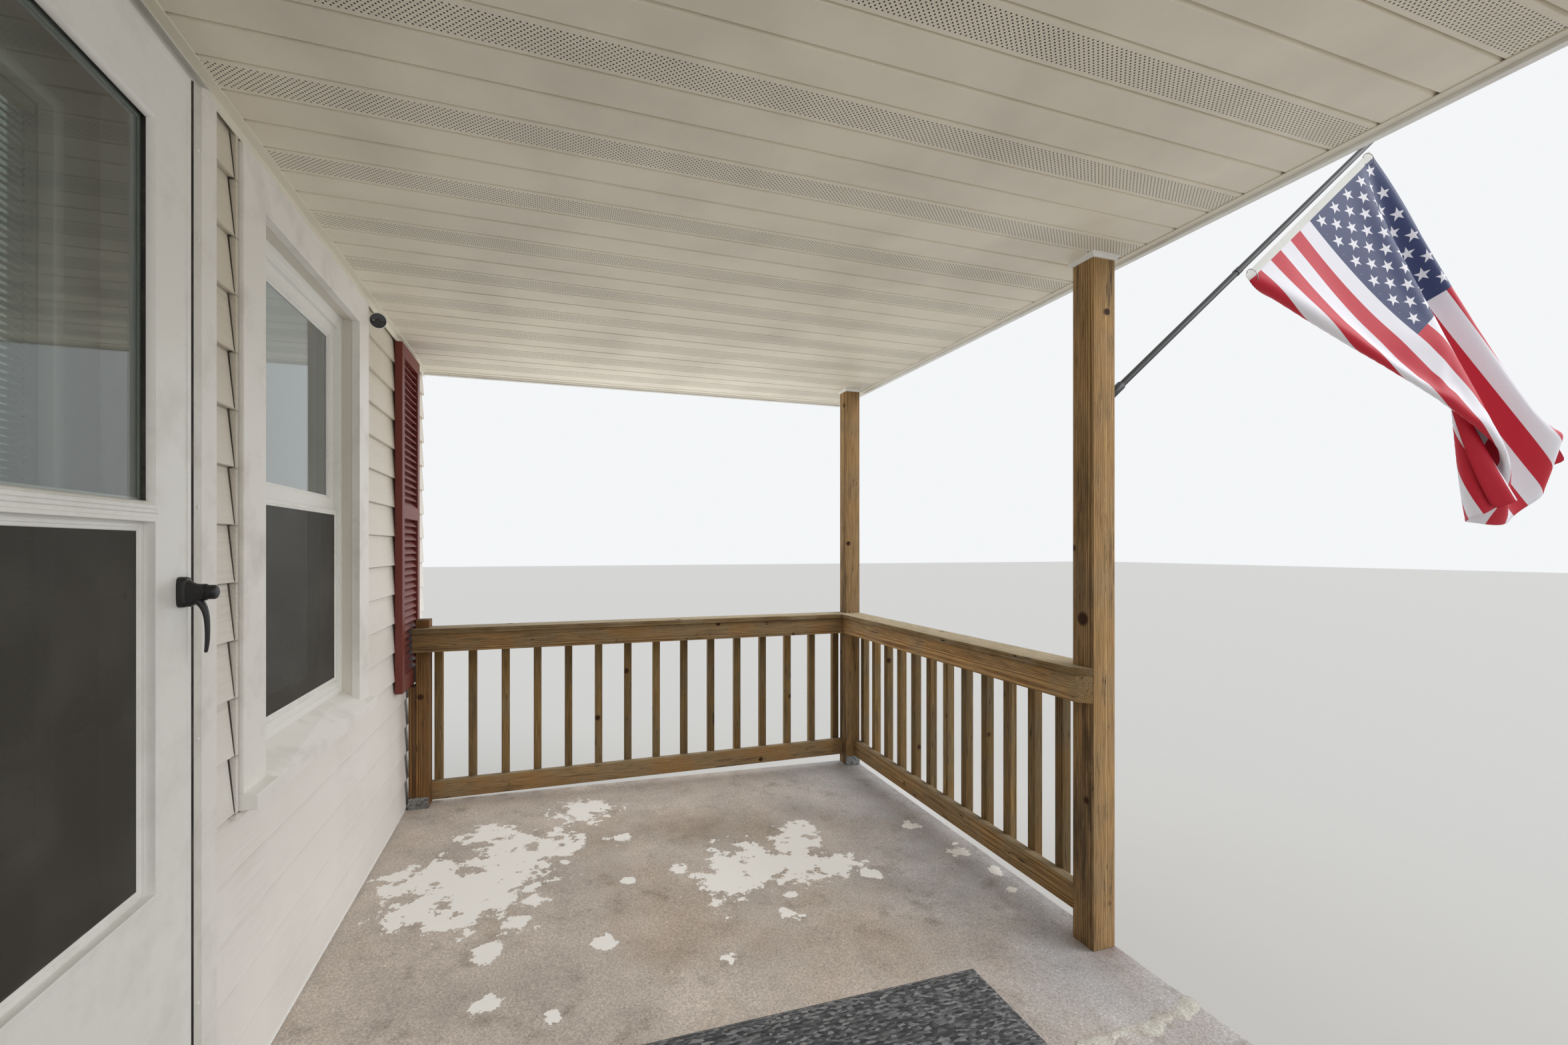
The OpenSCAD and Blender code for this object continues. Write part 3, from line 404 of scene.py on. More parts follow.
@dataclass(frozen=True)
class VentedSoffit(Finish):
    """Extruded PVC ceiling panels whose middle strip is punched with small holes.

    The eye sees 3 mm holes 8.2 mm apart on a grid turned by 45 degrees, painted near black as painted
    shade for the dark space behind them.
    """

    shade: str
    joint: float = 0.060
    strip: float = 0.1025
    holes_apart: float = 8.2 * MM

    def paint(self, net: Net) -> None:
        """Lay out the holes: a turned lattice of dots, kept to the middle of every third strip."""
        here = net.here()
        place = (here.part("X") - self.joint) / self.strip
        middle = place.math("FLOOR").math("FLOORED_MODULO", 3.0).math("COMPARE", 1.0, 0.1)
        inside = place.math("FRACT").math("COMPARE", 0.5, 0.37)
        lattice = net.add("Mapping", {"Vector": here, "Rotation": (0, 0, math.pi / 4),
            "Scale": (1 / self.holes_apart,) * 3}, vector_type="POINT").math("FRACTION", kind="VectorMath")
        lattice = lattice.math("MULTIPLY_ADD", (1, 1, 0), (-0.5, -0.5, 0), kind="VectorMath")
        far = lattice.math("LENGTH", kind="VectorMath")["Value"]
        under = net.facing("Z").math("LESS_THAN", -0.7)
        hole = far.ramp(0.2, 0.25, 1.0, 0.0) * middle * inside * under
        paint = net.noise(here, 3.0, 6.0).ramp(0.4, 0.8, 0.0, 0.3).mix(self.shade, "#8f8575")
        # The holes are painted near black: painted shade for the dark space behind them.
        net.finish(hole.mix(paint, "#0e0d0c"), 0.5, hole, 0.6, 1, invert=True)


@dataclass(frozen=True)
class Coated(Finish):
    """A coat on a smooth ground: brushed house paint, baked enamel or moulded skin.

    The eye sees an even colour, faint brush or peel marks, dust in corners and a sheen that varies.
    """

    shade: str
    dust: str = "#8c8273"
    dusty: float = 0.18
    gloss: float = 0.42
    metal: float = 0.0
    marks: Point = (1.0, 1.0, 1.0)
    mark_scale: float = 300.0
    depth: float = 0.12
    coat: float = 0.0

    def paint(self, net: Net) -> None:
        """Lay out marks drawn along one direction, dust and an uneven sheen."""
        here = net.here()
        mark = net.noise(here.drawn(self.marks), self.mark_scale, 3.0)
        cloud = net.noise(here, 7.0, 7.0, 0.65)
        paint = cloud.ramp(0.48, 0.8, 0.0, 2 * self.dusty).mix(self.shade, self.dust)
        sheen = cloud.ramp(0.3, 0.7, self.gloss - 0.06, self.gloss + 0.1)
        net.finish(paint, sheen, mark, self.depth, 0.3, Metallic=self.metal, Coat_Weight=self.coat)


@dataclass(frozen=True)
class HotDippedSteel(Finish):
    """Zinc-coated sheet steel, dulled outdoors.

    The eye sees crystal plates about 9 mm wide, each a slightly different grey.
    """

    pale: str = "#a9abac"
    dark: str = "#6e7071"
    plate: float = 9 * MM

    def paint(self, net: Net) -> None:
        """Lay out one grey to each crystal plate."""
        grey = net.cells(net.here(), self.plate)["Color"].part("X")
        join(net.tree, net.tree.nodes["Principled BSDF"], {"Base Color": grey.mix(self.pale, self.dark),
            "Roughness": 0.48, "Metallic": 0.85})


@dataclass(frozen=True)
class FloatGlass(Finish):
    """Float glass: smooth, hard and faintly green through its thickness, or dimmed by an unlit room."""

    tint: str = "#e9f1ed"

    def paint(self, net: Net) -> None:
        """Set a clear dielectric whose sheen varies with a thin film of dust."""
        rough = net.noise(net.here(), 4.0, 6.0).ramp(0.4, 0.8, 0.0, 0.05)
        join(net.tree, net.tree.nodes["Principled BSDF"], {"Base Color": self.tint, "Roughness": rough,
            "IOR": 1.5, "Transmission Weight": 1.0})


@dataclass(frozen=True)
class InsectMesh(Finish):
    """Woven fibreglass screening, 18 by 16 threads to the inch in the real one.

    It is drawn as threads 2.4 mm apart, coarser than real, over a see-through ground.
    """

    shade: str = "#2a2b2b"
    cover: float = 0.62
    threads_apart: float = 2.4 * MM

    def paint(self, net: Net) -> None:
        """Lay out a square weave as a height and hold the cover on the shader's own alpha."""
        here = net.here()
        weave, cross = (net.waves(here, self.threads_apart, bands_direction=axis) for axis in "XZ")
        paint = net.noise(here, 6.0, 5.0).ramp(0.45, 0.75, 0.0, 0.35).mix(self.shade, "#6b6862")
        net.finish(paint, 0.6, weave.math("MAXIMUM", cross), 0.4, 0.3, Alpha=self.cover)


@dataclass(frozen=True)
class GranuleShingle(Finish):
    """Asphalt shingle pressed with crushed stone: 1.6 mm grains in mixed greys, matt all over."""

    pale: str = "#807a73"
    dark: str = "#3f3c39"
    grain: float = 1.6 * MM

    def paint(self, net: Net) -> None:
        """Lay out one shade to each grain and a slow change from tab to tab."""
        here = net.here()
        shade = net.cells(here, self.grain)["Color"].part("X")
        share = shade.math("MULTIPLY_ADD", 0.7, net.noise(here, 3.0, 3.0)).math("SUBTRACT", 0.3, use_clamp=True)
        net.finish(share.mix(self.dark, self.pale), 0.95, shade, 0.6, 0.8)


@dataclass(frozen=True)
class SewnNylon(Finish):
    """Woven nylon sewn from stripes, with a star field in its upper hoist corner.

    The eye sees crisp seams and a faint cross weave; light that comes through the thin cloth is left out.
    """

    red: str = "#b3202f"
    white: str = "#e9e7ee"
    blue: str = "#3c4568"
    fly_by_hoist: float = 1524 / 914
    canton_by_fly: float = 0.4
    canton_by_hoist: float = 7 / 13
    star_radius: float = 0.0308
    star_waist: float = 0.382

    def paint(self, net: Net) -> None:
        """Lay out stripes across the hoist, then the field, then a staggered lattice of stars."""
        uv = net.add("UVMap", uv_map="UVMap")
        u, v = uv.part("X"), uv.part("Y")
        paint = (v * 13.0).math("FLOOR").math("FLOORED_MODULO", 2.0).mix(self.red, self.white)
        field_ = u.math("LESS_THAN", self.canton_by_fly) * v.math("LESS_THAN", self.canton_by_hoist)
        across, down = u * (12 / self.canton_by_fly), v * (10 / self.canton_by_hoist)
        star = self.star(across, down)
        for place, low, high in ((across, 0.5, 11.5), (down, 0.5, 9.5)):
            star = star * place.math("COMPARE", (low + high) / 2, (high - low) / 2)
        paint = field_.mix(paint, star.mix(self.blue, self.white))
        net.finish(paint, 0.6, net.noise(net.here(), 900.0), 0.15, 0.2)

    def star(self, across: Wire, down: Wire) -> Wire:
        """Tell whether a point is in the nearest star of the lattice.

        The lattice's points are those whose two counts add up to an even number. A star's side runs from
        its tip, at its radius, to its inner corner, at the waist's share of it and 36 degrees round.

        Args:
            across: The point's count of half star spaces along the fly.
            down: Its count down the hoist.

        Returns:
            One inside a star and nothing outside.
        """
        half, other = (both * 0.5 for both in (across + down, across - down))
        half, other = half.math("ROUND"), other.math("ROUND")
        dx = (across - (half + other)) * (self.canton_by_fly * self.fly_by_hoist / 12)
        dy = ((half - other) - down) * (self.canton_by_hoist / 10)
        fifth = math.tau / 5
        turn = (dx.math("ARCTAN2", dy) + fifth / 2).math("FLOORED_MODULO", fifth) - fifth / 2
        far = Net(dx.tree).add("CombineXYZ", {0: dx, 1: dy}).math("LENGTH", kind="VectorMath")["Value"]
        slope = math.atan2(1 - self.star_waist * math.cos(fifth / 2), self.star_waist * math.sin(fifth / 2))
        reach = far * (turn.math("ABSOLUTE") - slope).math("COSINE")
        return reach.math("LESS_THAN", self.star_radius * math.cos(slope))


@dataclass(frozen=True)
class LoopedMat(Finish):
    """Looped olefin yarn on a flat backing.

    The eye sees ribs 16 mm apart of loops in charcoal, mid grey and pale grey, all matt.
    """

    dark: str = "#36373a"
    pale: str = "#8f9092"
    loop: float = 7 * MM
    rib: float = 16 * MM

    def paint(self, net: Net) -> None:
        """Lay out one grey to each 7 mm loop, a little darker between the ribs."""
        here = net.here()
        loop = net.cells(here.drawn((1.0, 0.45, 1.0)), self.loop)
        grey = loop["Color"].part("X").math("POWER", 2.2)
        rib = net.waves(here, self.rib, {"Distortion": 1.5, "Detail": 2.0, "Detail Scale": 4.0}, bands_direction="X")
        paint = grey.mix(self.dark, self.pale).scaled(rib.ramp(start=0.72, end=1.1))
        height = loop["Distance"].math("MULTIPLY_ADD", -0.8, rib)
        net.finish(paint, 0.95, height, 0.8, 2, Sheen_Weight=0.1)


def circle(sides: int) -> tuple[Array, Array]:
    """Return the cosines and the sines of evenly spaced turns, each shaped (sides, 1)."""
    turn = np.linspace(0, math.tau, sides, endpoint=False)[:, None]
    return np.cos(turn), np.sin(turn)


def unit(vectors: Any) -> Array:
    """Return vectors scaled to a length of one."""
    return np.array(vectors) / np.linalg.norm(vectors, axis=-1, keepdims=True)


@dataclass
class Shape:
    """Grids of points that are gathered into one mesh. Each method adds to it and returns it."""

    points: list[Array] = field(default_factory=list)
    faces: list[Array] = field(default_factory=list)
    count: int = 0

    def grids(self, points: Array, round_rows: bool = False, round_columns: bool = False) -> "Shape":
        """Add grids whose faces join each point to the next along and across.

        Args:
            points: Points shaped (grids, rows, columns, 3).
            round_rows: Whether the last row joins the first.
            round_columns: Whether the last column joins the first.

        Returns:
            This shape.
        """
        index = np.arange(points[..., 0].size).reshape(points.shape[:3]) + self.count
        if round_rows:
            index = np.concatenate([index, index[:, :1]], 1)
        if round_columns:
            index = np.concatenate([index, index[:, :, :1]], 2)
        quads = np.stack([index[:, :-1, :-1], index[:, 1:, :-1], index[:, 1:, 1:], index[:, :-1, 1:]], -1)
        self.points.append(points.reshape(-1, 3))
        self.faces.append(quads.reshape(-1, 4))
        self.count += points[..., 0].size
        return self

    def closed(self, points: Array) -> "Shape":
        """Add tubes, shaped (tubes, rows, columns, 3), whose end rows shrink to their middle points."""
        first, last = (np.broadcast_to(row.mean(2, keepdims=True), row.shape)
            for row in (points[:, :1], points[:, -1:]))
        return self.grids(np.concatenate([first, points, last], 1), round_columns=True)

    def turned(self, at: Array, axis: Point, section: Array, sides: int = 40) -> "Shape":
        """Add turned surfaces: each section point runs round an axis at its own radius and height.

        Args:
            at: The places that heights are measured from, shaped (surfaces, 3).
            axis: The axis, of any length, but not upright.
            section: Points of (radius, height), shaped (points, 2).
            sides: Points round it.

        Returns:
            This shape.
        """
        out = unit(axis)
        side = unit(np.cross(out, [0.0, 0.0, 1.0]))
        cos, sin = circle(sides)
        rim = cos * np.cross(side, out) + sin * side
        points = section[:, :1, None] * rim + section[:, 1:, None] * out
        return self.grids(at[:, None, None] + points, round_columns=True)

    def domes(self, at: Array, way: Way, radius: float, height: float, sides: int = 8) -> "Shape":
        """Add low domes, such as nail heads, of one radius and height at places shaped (domes, 3)."""
        return self.turned(at, way.value, DOME * [radius, height], sides)

    def stacked(self, at: Point, out: int, rows: Array, sides: int = 32) -> "Shape":
        """Add a stack of superellipses, closed at both ends.

        Each stands square to the way to the street. Its points are its half sizes times the cosine and the
        sine of the turn, each to the power of 2 over the row's exponent.

        Args:
            at: The place that the rows are measured from.
            out: -1 where the stack rises towards the street and 1 towards the house.
            rows: Rise, half width, half height and middle height in millimetres, and the exponent.
            sides: Points round it.

        Returns:
            This shape.
        """
        rise, wide, tall, middle, power = rows.T[:, :, None] * np.array([MM, MM, MM, MM, 1.0])[:, None, None]
        cos, sin = (turn[:, 0] for turn in circle(sides))
        x = wide * np.sign(cos) * np.abs(cos) ** (2 / power)
        z = middle + tall * np.sign(sin) * np.abs(sin) ** (2 / power)
        return self.closed((np.array(at) + np.stack([x, out * rise + 0 * x, z], -1))[None])

    def tapered(self, path: Array, wide: Array, thick: Array, sides: int = 16) -> "Shape":
        """Add a rod of changing ellipses, closed at both ends, along a smooth curve.

        The curve and the half sizes are cubic splines through the rows, made by Catmull and Rom's formula,
        and a last half circle of rings rounds the tip.

        Args:
            path: The curve's points, shaped (points, 3), in a plane through x or z.
            wide: Half widths across that plane.
            thick: Half widths in it.
            sides: Points round it.

        Returns:
            This shape.
        """
        rows = np.column_stack([path, wide, thick])
        rows = np.concatenate([[2 * rows[0] - rows[1]], rows, [2 * rows[-1] - rows[-2]]])
        step = np.linspace(0, 1, 6, endpoint=False)[None, :, None]
        a, b, c, d = (rows[i:len(rows) - 3 + i, None] for i in range(4))
        smooth = b + 0.5 * step * (c - a + step * (2 * a - 5 * b + 4 * c - d + step * (3 * (b - c) + d - a)))
        smooth = np.concatenate([smooth.reshape(-1, 5), rows[-2:-1]])
        along = unit(np.gradient(smooth[:, :3], axis=0))
        lean = np.linspace(0, math.pi / 2, 6)[1:, None]
        tip = smooth[-1, :3] + along[-1] * smooth[-1, 4] * np.sin(lean)
        smooth = np.concatenate([smooth, np.concatenate([tip, smooth[-1, 3:] * np.cos(lean)], 1)])
        along = np.concatenate([along, np.repeat(along[-1:], len(lean), 0)])
        across = np.array([0.0, 0.0, 1.0]) if np.ptp(path[:, 2]) < MM else np.array([1.0, 0.0, 0.0])
        cos, sin = circle(sides)
        ring = smooth[:, None, 3:4] * cos * across + smooth[:, None, 4:] * sin * np.cross(along, across)[:, None]
        return self.closed((smooth[:, None, :3] + ring)[None])

    def mitred(self, low: Point, high: Point, depth: float, profile: Array) -> "Shape":
        """Add a frame: a profile of (inward, towards the house) is carried round a rectangle's corners.

        Args:
            low: The rectangle's lowest corner, by its x and z.
            high: Its highest corner.
            depth: The y that the profile starts from.
            profile: Points shaped (points, 2).

        Returns:
            This shape.
        """
        corner = np.array([[x, depth, z] for x, z in ((low[0], low[2]), (high[0], low[2]), (high[0], high[2]),
            (low[0], high[2]))])
        inward = np.array([[1, 0, 1], [-1, 0, 1], [-1, 0, -1], [1, 0, -1.0]])
        points = corner[:, None] + profile[None, :, :1] * inward[:, None] + profile[None, :, 1:] * [0, 1.0, 0]
        return self.grids(points[None], round_rows=True, round_columns=True)

    def tube(self, path: Array, radius: float, sides: int) -> "Shape":
        """Add a round tube: a circle square to each step of the path, closed at both ends.

        Args:
            path: Points shaped (points, 3).
            radius: The tube's radius.
            sides: Points round it.

        Returns:
            This shape.
        """
        along = unit(np.gradient(path, axis=0))
        side = unit(np.cross(along, [0.31, 0.17, 0.93]))
        cos, sin = circle(sides)
        ring = cos * side[:, None] + sin * np.cross(along, side)[:, None]
        return self.closed((path[:, None] + radius * ring)[None])

    def block(self, low: Point, high: Point) -> "Shape":
        """Add a flat-sided block between its lowest and its highest corner."""
        plan = ((low[0], low[1]), (high[0], low[1]), (high[0], high[1]), (low[0], high[1]))
        return self.closed(np.array([[[(x, y, z) for x, y in plan] for z in (low[2], high[2])]]))

    def build(self, name: str, finish: Finish, body: str, slot: str | None, sharp: float = 35.0) -> bpy.types.Object:
        """Make the gathered grids one piece, with its poles merged and its faces outwards.

        Args:
            name: The piece's name.
            finish: Its finish.
            body: The body that it rides on.
            slot: The record's material slot, if it has one for the piece.
            sharp: The angle in degrees past which an edge stays sharp.

        Returns:
            The piece.
        """
        mesh = bpy.data.meshes.new(name)
        mesh.from_pydata(np.concatenate(self.points).tolist(), [], np.concatenate(self.faces).tolist())
        soft = bmesh.new()
        soft.from_mesh(mesh)
        bmesh.ops.remove_doubles(soft, verts=soft.verts, dist=1e-6)
        bmesh.ops.recalc_face_normals(soft, faces=soft.faces)
        soft.to_mesh(mesh)
        soft.free()
        return place(mesh, finish, body, slot, sharp)


def place(mesh: bpy.types.Mesh, finish: Finish, body: str, slot: str | None, sharp: float) -> bpy.types.Object:
    """Put a mesh into the scene as a piece of its own name that rides on a body.

    Args:
        mesh: The mesh, in the row frame.
        finish: Its finish.
        body: The body that it rides on.
        slot: Not used.
        sharp: The angle in degrees past which an edge stays sharp.

    Returns:
        The piece.
    """
    mesh.shade_smooth()
    mesh.set_sharp_from_angle(angle=math.radians(sharp))
    mesh.materials.append(finish.material())
    piece = bpy.data.objects.new(mesh.name, mesh)
    bpy.context.scene.collection.objects.link(piece)
    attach(piece, body)
    log.info("%s: %d faces on %s", mesh.name, len(mesh.polygons), body)
    return piece


def dress(finish: Finish, *nodes: str, eased: float = 0.0) -> None:
    """Give CAD nodes their finish, and eased edges where there is a width for them.

    Args:
        finish: The finish.
        *nodes: The nodes' names.
        eased: The width in millimetres that their edges are rounded to.
    """
    for node in nodes:
        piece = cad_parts[node]
        piece.data.materials.clear()
        piece.data.materials.append(finish.material())
        if eased:
            weld = piece.modifiers.new("Joined", "WELD")
            weld.merge_threshold = 1e-5
            soft = piece.modifiers.new("Eased", "BEVEL")
            soft.width, soft.segments, soft.limit_method = eased * MM, 2, "ANGLE"
            soft.angle_limit = math.radians(40)
        log.info("%s: dressed", node)


def span(node: str) -> tuple[Array, Array]:
    """Return a CAD node's lowest and highest corners."""
    low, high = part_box(node)
    return np.array(low), np.array(high)


def both(points: Array) -> Array:
    """Return the points with their mirror images on the other side of the door."""
    return np.concatenate([points, points * MIRROR])


def slab_top(y: Array) -> Array:
    """Return the slab's height at a depth: a straight fall towards the street."""
    return SLAB_EDGE + SLAB_SLOPE * (y - STREET_Y)


def add_screen(low: Point, high: Point, width: float, rims: Shape, sheets: Shape) -> None:
    """Add an insect screen: a mitred rim with a groove for its spline, and a thin sheet of mesh in it.

    Args:
        low: The screen's lowest corner.
        high: Its highest corner.
        width: The rim's width.
        rims: The shape that gets the rim.
        sheets: The shape that gets the sheet.
    """
    thick, inset = high[1] - low[1], 0.9 * width
    front = low[1] + 0.4 * thick
    rims.mitred(low, high, low[1], SCREEN_RIM * [width, thick])
    sheets.block((low[0] + inset, front, low[2] + inset), (high[0] - inset, front + 0.4 * MM, high[2] - inset))


def parts_of(mesh: bpy.types.Mesh) -> Array:
    """Number a mesh's vertices by loose part.

    Each edge's two ends take the lower of their numbers until none changes.

    Args:
        mesh: The mesh.

    Returns:
        One part number to each vertex.
    """
    ends = np.empty(len(mesh.edges) * 2, np.int32)
    mesh.edges.foreach_get("vertices", ends)
    ends = ends.reshape(-1, 2)
    number = np.arange(len(mesh.vertices))
    while True:
        low = number[ends].min(1)
        lower = number.copy()
        np.minimum.at(lower, ends[:, 0], low)
        np.minimum.at(lower, ends[:, 1], low)
        lower = lower[lower]
        if (lower == number).all():
            return np.unique(number, return_inverse=True)[1]
        number = lower


POST = SawnTimber("weathered_post_pine", "#bd9a68", "#805a33", "#8f7f66", greyed=0.22, streaked=0.4, house_side_shade_and_soot=0.5,
    knots=((0.608, -1.128, 1.36, 0.028), (0.565, -1.17, 2.36, 0.012), (2.43, -1.128, 2.33, 0.022),
        (2.47, -1.128, 1.62, 0.014)))
RAIL = SawnTimber("weathered_rail_pine", "#bb9561", "#7a552f", "#9a8769", greyed=0.35, streaked=0.3)
CAP = SawnTimber("weathered_cap_pine", "#806437", "#523b22", "#b0a185", greyed=0.2, streaked=0.14)
BALUSTER = SawnTimber("weathered_baluster_pine", "#97794b", "#5c4527", "#7b6d53", greyed=0.33, streaked=0.22)
WALL_POST = SawnTimber("damp_wall_post_pine", "#8d6538", "#4f3319", "#75634a", greyed=0.15, streaked=0.5)
FRAMING = SawnTimber("sheltered_framing_pine", "#d3b180", "#ab8550", "#bfa888", greyed=0.15, streaked=0.05)
SLAB = PouredConcrete("painted_concrete", ground="#cbc0b6", bare="#fbf9f5", tide="#bcbec4", patches=(
    (1.446, -0.245, 0.306, 0.17), (1.36, -0.12, 0.308, 0.12), (1.39, -0.40, 0.303, 0.13),
    (1.36, -0.56, 0.301, 0.09), (1.25, -0.67, 0.299, 0.043), (1.55, -0.45, 0.303, 0.1), (1.69, -0.52, 0.302, 0.09),
    (1.78, -0.57, 0.301, 0.031), (1.56, 0.80, 0.322, 0.2), (1.75, 0.68, 0.320, 0.17), (1.95, 0.72, 0.321, 0.12),
    (2.07, 0.80, 0.322, 0.09), (1.85, 0.53, 0.318, 0.1), (1.98, 0.51, 0.318, 0.043), (1.47, 0.97, 0.325, 0.11),
    (1.70, 0.97, 0.325, 0.13), (1.76, 1.10, 0.327, 0.043), (1.293, -1.113, 0.292, 0.043),
    (1.110, -1.147, 0.291, 0.031), (1.604, -1.047, 0.293, 0.037), (1.077, -0.262, 0.305, 0.037),
    (1.515, 0.048, 0.310, 0.037), (1.105, -0.039, 0.309, 0.025), (0.884, 0.011, 0.310, 0.025),
    (1.474, 0.256, 0.314, 0.025), (1.087, 0.366, 0.315, 0.037), (2.215, 0.385, 0.316, 0.12),
    (1.855, 0.264, 0.314, 0.043), (1.187, -0.302, 0.305, 0.019), (0.969, -1.118, 0.292, 0.025),
    (1.375, -1.141, 0.291, 0.019), (1.281, 0.653, 0.320, 0.05), (1.154, 0.721, 0.321, 0.043),
    (2.063, 0.932, 0.324, 0.031), (0.903, 0.714, 0.321, 0.037), (0.784, 0.527, 0.318, 0.025),
    (-1.5, 0.4, 0.316, 0.22), (-1.3, 0.25, 0.314, 0.14), (-1.0, -0.5, 0.303, 0.12), (-2.0, -0.3, 0.305, 0.1)),
    rust=((0.607, -1.20, 0.29, 0.13), (-0.607, -1.20, 0.29, 0.13)))
BLOCK = PouredConcrete("bare_foundation_concrete", ground="#9b968f", tide="#9b968f", ochre="#8f867a")
# Painted shade: a dark coat for the strips that stand for the shade in the channel's pocket.
POCKET_SHADE = Coated("shaded_pocket_of_the_channel", "#3a342b", gloss=0.8, dusty=0.3)
MORTAR = PouredConcrete("trowelled_mortar", ground="#cbc8c0", tide="#cbc8c0", ochre="#c2bcae")
SIDING = EmbossedVinyl("cream_siding_vinyl", "#eeebe7", course=0.1302, foot=0.343, aged="#ddd2b8", depth=0.9)
SOFFIT = VentedSoffit("cream_soffit_vinyl", "#f0e9d9")
TRIM_VINYL = EmbossedVinyl("cream_trim_vinyl", "#eae5d7", depth=0.08)
WHITE_VINYL = EmbossedVinyl("white_window_vinyl", "#efefeb", depth=0.03, gloss=0.38)
SHUTTER = EmbossedVinyl("oxblood_shutter_vinyl", "#6e2a21", dust="#8f6557", along=(1, 1, 0.04), depth=0.4, gloss=0.5)
SHEATHING = Coated("primed_wall_board", "#dad6cb", marks=(1, 1, 1), mark_scale=90, dusty=0.05, gloss=0.8)
PAINT = Coated("brushed_white_house_paint", "#efede8", marks=(1, 1, 0.05), mark_scale=420, depth=0.25, dusty=0.16)
ENAMEL = Coated("baked_white_enamel_on_aluminium", "#f0f0ec", gloss=0.33, dusty=0.12, mark_scale=160, depth=0.06)
DULL_ENAMEL = Coated("dulled_white_enamel_on_bars", "#dcdbd4", gloss=0.4, dusty=0.2, mark_scale=160, depth=0.06)
DOOR_PAINT = Coated("smooth_white_door_paint", "#dedfdd", gloss=0.38, dusty=0.08, mark_scale=200, depth=0.1)
MILL = Coated("mill_finish_aluminium", "#b9babb", gloss=0.4, metal=0.9, marks=(0.02, 1, 1), mark_scale=900)
STEEL = Coated("satin_plated_steel", "#b4b2ad", gloss=0.36, metal=1.0, mark_scale=700, dusty=0.05)
BLACK = Coated("black_powder_coat", "#1d1d1f", dust="#55514a", gloss=0.42, mark_scale=500, depth=0.2, dusty=0.1)
LENS_BLACK = Coated("moulded_black_camera_face", "#101112", dust="#2b2b2b", gloss=0.18, coat=0.6)
SENSOR = Coated("milky_sensor_plastic", "#8b8a86", gloss=0.25, dusty=0.0, coat=0.4)
ZINC = HotDippedSteel("hot_dipped_zinc")
NAIL = Coated("dull_nail_steel", "#77726b", gloss=0.5, metal=0.8, dust="#5a3a24", dusty=0.4)
GLASS = FloatGlass("clear_float_glass")
DIM_GLASS = FloatGlass("float_glass_before_an_unlit_room", tint="#868c89")
GASKET = Coated("black_glazing_rubber", "#2b2c2c", gloss=0.6, dusty=0.3, mark_scale=400)
MAT_YARN = LoopedMat("grey_looped_olefin")
MESH = InsectMesh("grey_fibreglass_screening", shade="#3d3931", cover=0.65)
SHINGLE = GranuleShingle("stone_coated_asphalt")
CLOTH = SewnNylon("sewn_flag_nylon", red="#c1152f", blue="#2e3a66")
CANVAS = Coated("white_header_canvas", "#e6e5e0", gloss=0.8, mark_scale=900, depth=0.4, dusty=0.05)
SLAT = Coated("white_enamelled_slat", "#e9e9e6", gloss=0.4, dusty=0.03)


